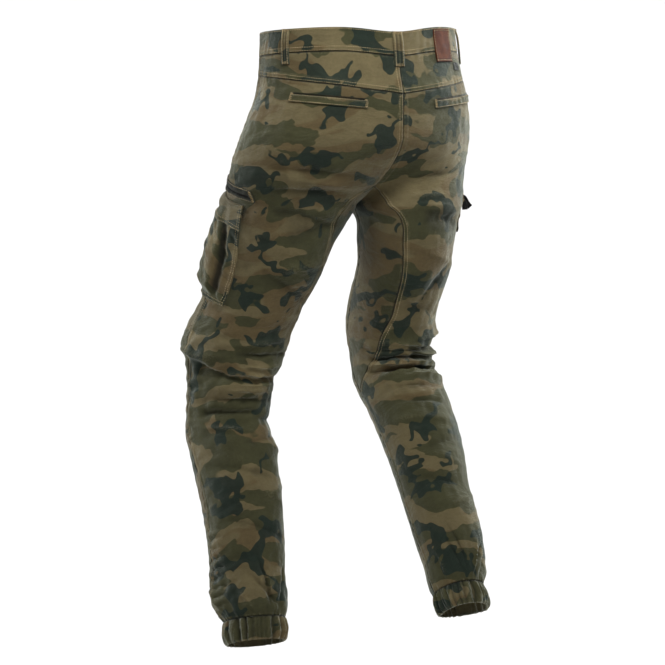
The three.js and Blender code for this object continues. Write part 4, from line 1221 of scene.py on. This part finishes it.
def welt_relief(across, down, border, run, fall):
    """A single welt under a mouth painted dark as shade; the strip above the lip is the mouth's floor."""
    floor = 1 - smoothstep(down, WELT["slit"] - 0.03, WELT["slit"] + 0.03)
    ends = smoothstep(np.minimum(across, 1 - across), 0.02, 0.05)
    lip = bell(down - WELT["slit"], 0.12, 0.1) * ends
    bumps, wear_and_highlight, _ = turned_edge(0.3, 241)(across, down, border, run, fall)
    return (bumps + 0.7 * lip) * (1 - floor) - 1.5 * floor, wear_and_highlight + 0.5 * lip, floor * ends


def sew_pockets(side):
    pocket = sewn_on(f"cargo_pocket_{side}", side, (135, 160), SPACING * 0.8, WALL, place_pocket, pocket_relief)
    flap = sewn_on(f"cargo_flap_{side}", side, (145, 42), SPACING * 0.7, WALL, place_flap, turned_edge(0.45, 221))
    strip = sewn_on(f"cargo_zip_{side}", side, (165, 19), SPACING * 0.5, ZIP["thickness"], place_zip, zip_relief,
                    TAPE)
    welt = sewn_on(f"back_pocket_welt_{side}", side, (117, 15), SPACING * 0.5, WELT["thickness"], place_welt,
                   welt_relief)
    zip_teeth(strip, side, ZIP_METAL)
    group = f"pockets_{side}"
    for inset in DOUBLE:
        for edge in ("first", "last", "bottom"):
            sew(group, pocket.line(edge, inset, 0.02, 0.98))
            sew(group, flap.line(edge, inset, 0.03, 0.97))
    for edge in ("top", "bottom"):
        sew(group, strip.line(edge, 1.7, 0.01, 0.99))
        sew(group, welt.line(edge, 4.4 if edge == "top" else 1.8, 0.01, 0.99))
    for grid in (strip, welt):
        bar_tack(group, grid.line("last", 3.0, 0.12, 0.92))
    bar_tack(group, welt.line("first", 3.0, 0.12, 0.92))


PATCH = {"from": 0.755, "to": 0.85, "top": 16, "bottom": -36, "thickness": 1.5}
TAB = {"from": 0.705, "to": 0.745, "top": -31, "bottom": -43, "thickness": 1.2}
FLY = {"from": 0.004, "to": 0.075, "top": -32, "bottom": -160, "thickness": 1.4, "end_lift": 1.4}
FLY_CURVE = {"from": 0.7, "by": 0.85}


def place_patch(across, down):
    t, z = lay(PATCH, across, down)
    return t, z - band_drop(t), BAND_PROUD + LIFT


def patch_relief(across, down, border, run, fall):
    bend = np.clip(1 - border / 0.9, 0, 1)
    pressed = bell(border, 3.0, 0.9)
    bumps = rolled(border, 0.9) - 0.35 * pressed + 0.25 * ripples(run, fall, 251, 24)
    # painted shade in the pressed line by the stitching and on the rolled edges
    return bumps, 0 * border, 0.7 * pressed + 0.8 * bend


def place_tab(across, down):
    return *lay(TAB, across, down), LIFT


def place_fly(across, down):
    corner = 1 - FLY_CURVE["by"] * smoothstep(down, FLY_CURVE["from"], 1)
    return *lay(FLY, across * corner, down), lerp(LIFT, FLY["end_lift"], down)


def sew_labels():
    patch = sewn_on("leather_patch", "right", (48, 52), 2.2, PATCH["thickness"], place_patch, patch_relief,
                    LEATHER)
    for edge in ("top", "bottom", "first", "last"):
        sew("patch", patch.line(edge, 3.0, 0.05, 0.95))
    sewn_on("loop_tab", "right", (18, 12), 1.2, TAB["thickness"], place_tab, turned_edge(0.1, 261, 0.4),
            TAB_WEAVE)
    fly = sewn_on("fly_flap", "left", (34, 128), 2.4, FLY["thickness"], place_fly, turned_edge(0.3, 271),
                  uv_name="front_left")
    for inset in DOUBLE:
        sew("front_rise", fly.line("last", inset, 0.02, 0.98))


# Folded ribbon on the right zip's back end: an upturned V that stands out from the thigh.
PULL = {"t": 0.541, "z": -240.0, "ribbon": 9, "wall": 1.3, "twist": 58}
PULL_LINE = [  # out from the leg, up; along the ribbon's middle
    [3.0, -3.0], [3.0, -0.8], [3.6, 0.2], [4.6, -0.6], [6.2, -4.0], [9.6, -9.6], [13.4, -14.2], [16.6, -16.6],
]
PULL_INNER = [[3.6, -3.2], [4.4, -5.6], [5.8, -10.0], [7.4, -15.4], [8.6, -21.6]]


def make_pull():
    surface, mirror = (lambda a, b: skin("right", a, b)), np.array([-1.0, 1.0, 1.0])
    t, z = np.array(PULL["t"]), np.array(PULL["z"])
    foot, out = surface(t, z) * mirror, normal_of(surface, t, z) * mirror
    along = np.cross(out, (0, 0, 1))
    along /= np.linalg.norm(along)
    up = np.cross(along, out)
    for name, rows in (("outer", PULL_LINE), ("inner", PULL_INNER)):
        line = np.array(rows)
        keys = distances(line[None], 1)[0]
        fine = np.linspace(0, keys[-1], 26)
        line = np.stack([np.interp(fine, keys, line[:, k]) for k in range(2)], -1)
        line[1:-1] = (line[:-2] + 2 * line[1:-1] + line[2:]) / 4
        slope = np.gradient(line, axis=0)
        slope /= np.linalg.norm(slope, axis=-1, keepdims=True)
        across = np.linspace(-0.5, 0.5, 9)
        flat = foot + line[:, :1] * out + line[:, 1:] * up
        face = slope[:, 1:] * -out + slope[:, :1] * up
        twist = math.radians(PULL["twist"]) * smoothstep(fine / keys[-1], 0.0, 0.45)[:, None]
        wide = along * np.cos(twist) + face * np.sin(twist)
        face = np.cross(wide, slope[:, :1] * out + slope[:, 1:] * up)
        spread = flat[:, None] + across[None, :, None] * PULL["ribbon"] * wide[:, None]
        curl = 0.35 * np.cos(np.pi * across)[None, :, None]
        outer = spread + face[:, None] * (PULL["wall"] / 2 + curl)
        inner = spread + face[:, None] * (curl - PULL["wall"] / 2)
        run = (fine[:, None] + 0 * across[None]) * 0.001
        uv = np.stack([across[None] * 0.009 + 0 * run, run], -1)
        edge = bell(np.abs(across), 0.5, 0.06)[None] + 0 * run
        marks_and_painted_light = np.clip(np.stack([0.6 * edge, 0 * edge, 0 * edge], -1), 0, 1)
        mesh = make_wall(f"pull_{name}", outer, inner, uv, marks_and_painted_light, mirrored=True)
        nodes = ["zip_pull_right"] if name == "outer" else []
        add_piece(f"ribbon_pull_{name}", mesh, RIBBON, nodes)


# ------------------------------------------------------------------ making it all
place_camera()
place_stage()
light_scene()

CAMO_CLOTH = camouflage("camouflage_twill")
# the gusset between the legs gets a copy of the print a tenth darker: painted shade
SHADED_GUSSET_CLOTH = camouflage("camouflage_gusset_shaded", shade=0.9)
TAPE = woven("zip_tape", tone(28, 32, 27), tone(70, 71, 58))
TAB_WEAVE = woven("woven_tab", tone(34, 38, 38), tone(120, 122, 116), 0.0008)
RIBBON = woven("black_ribbon", tone(17, 17, 18), tone(62, 62, 62), 0.0009, 0.7)
THREAD_TAN = thread_material()
LEATHER = leather_material()
BRASS = metal_material("antique_brass", tone(142, 116, 70), tone(70, 56, 36))
ZIP_METAL = metal_material("dark_zip", tone(52, 52, 50), tone(24, 24, 23))

for each in SIDES:
    sew_panels(each)
    make_cuff(each)
    sew_pockets(each)
make_waistband()
for label, way in (("back_left", LOOP["back"]), ("back_right", 2 - LOOP["back"]), ("front_left", LOOP["front"]),
                   ("front_right", 2 - LOOP["front"]), ("centre_back", 1.0)):
    belt_loop(f"belt_loop_{label}", way)
sew_labels()
make_pull()
make_stitches(THREAD_TAN)

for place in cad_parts["waist_button"].material_slots:
    place.material = BRASS
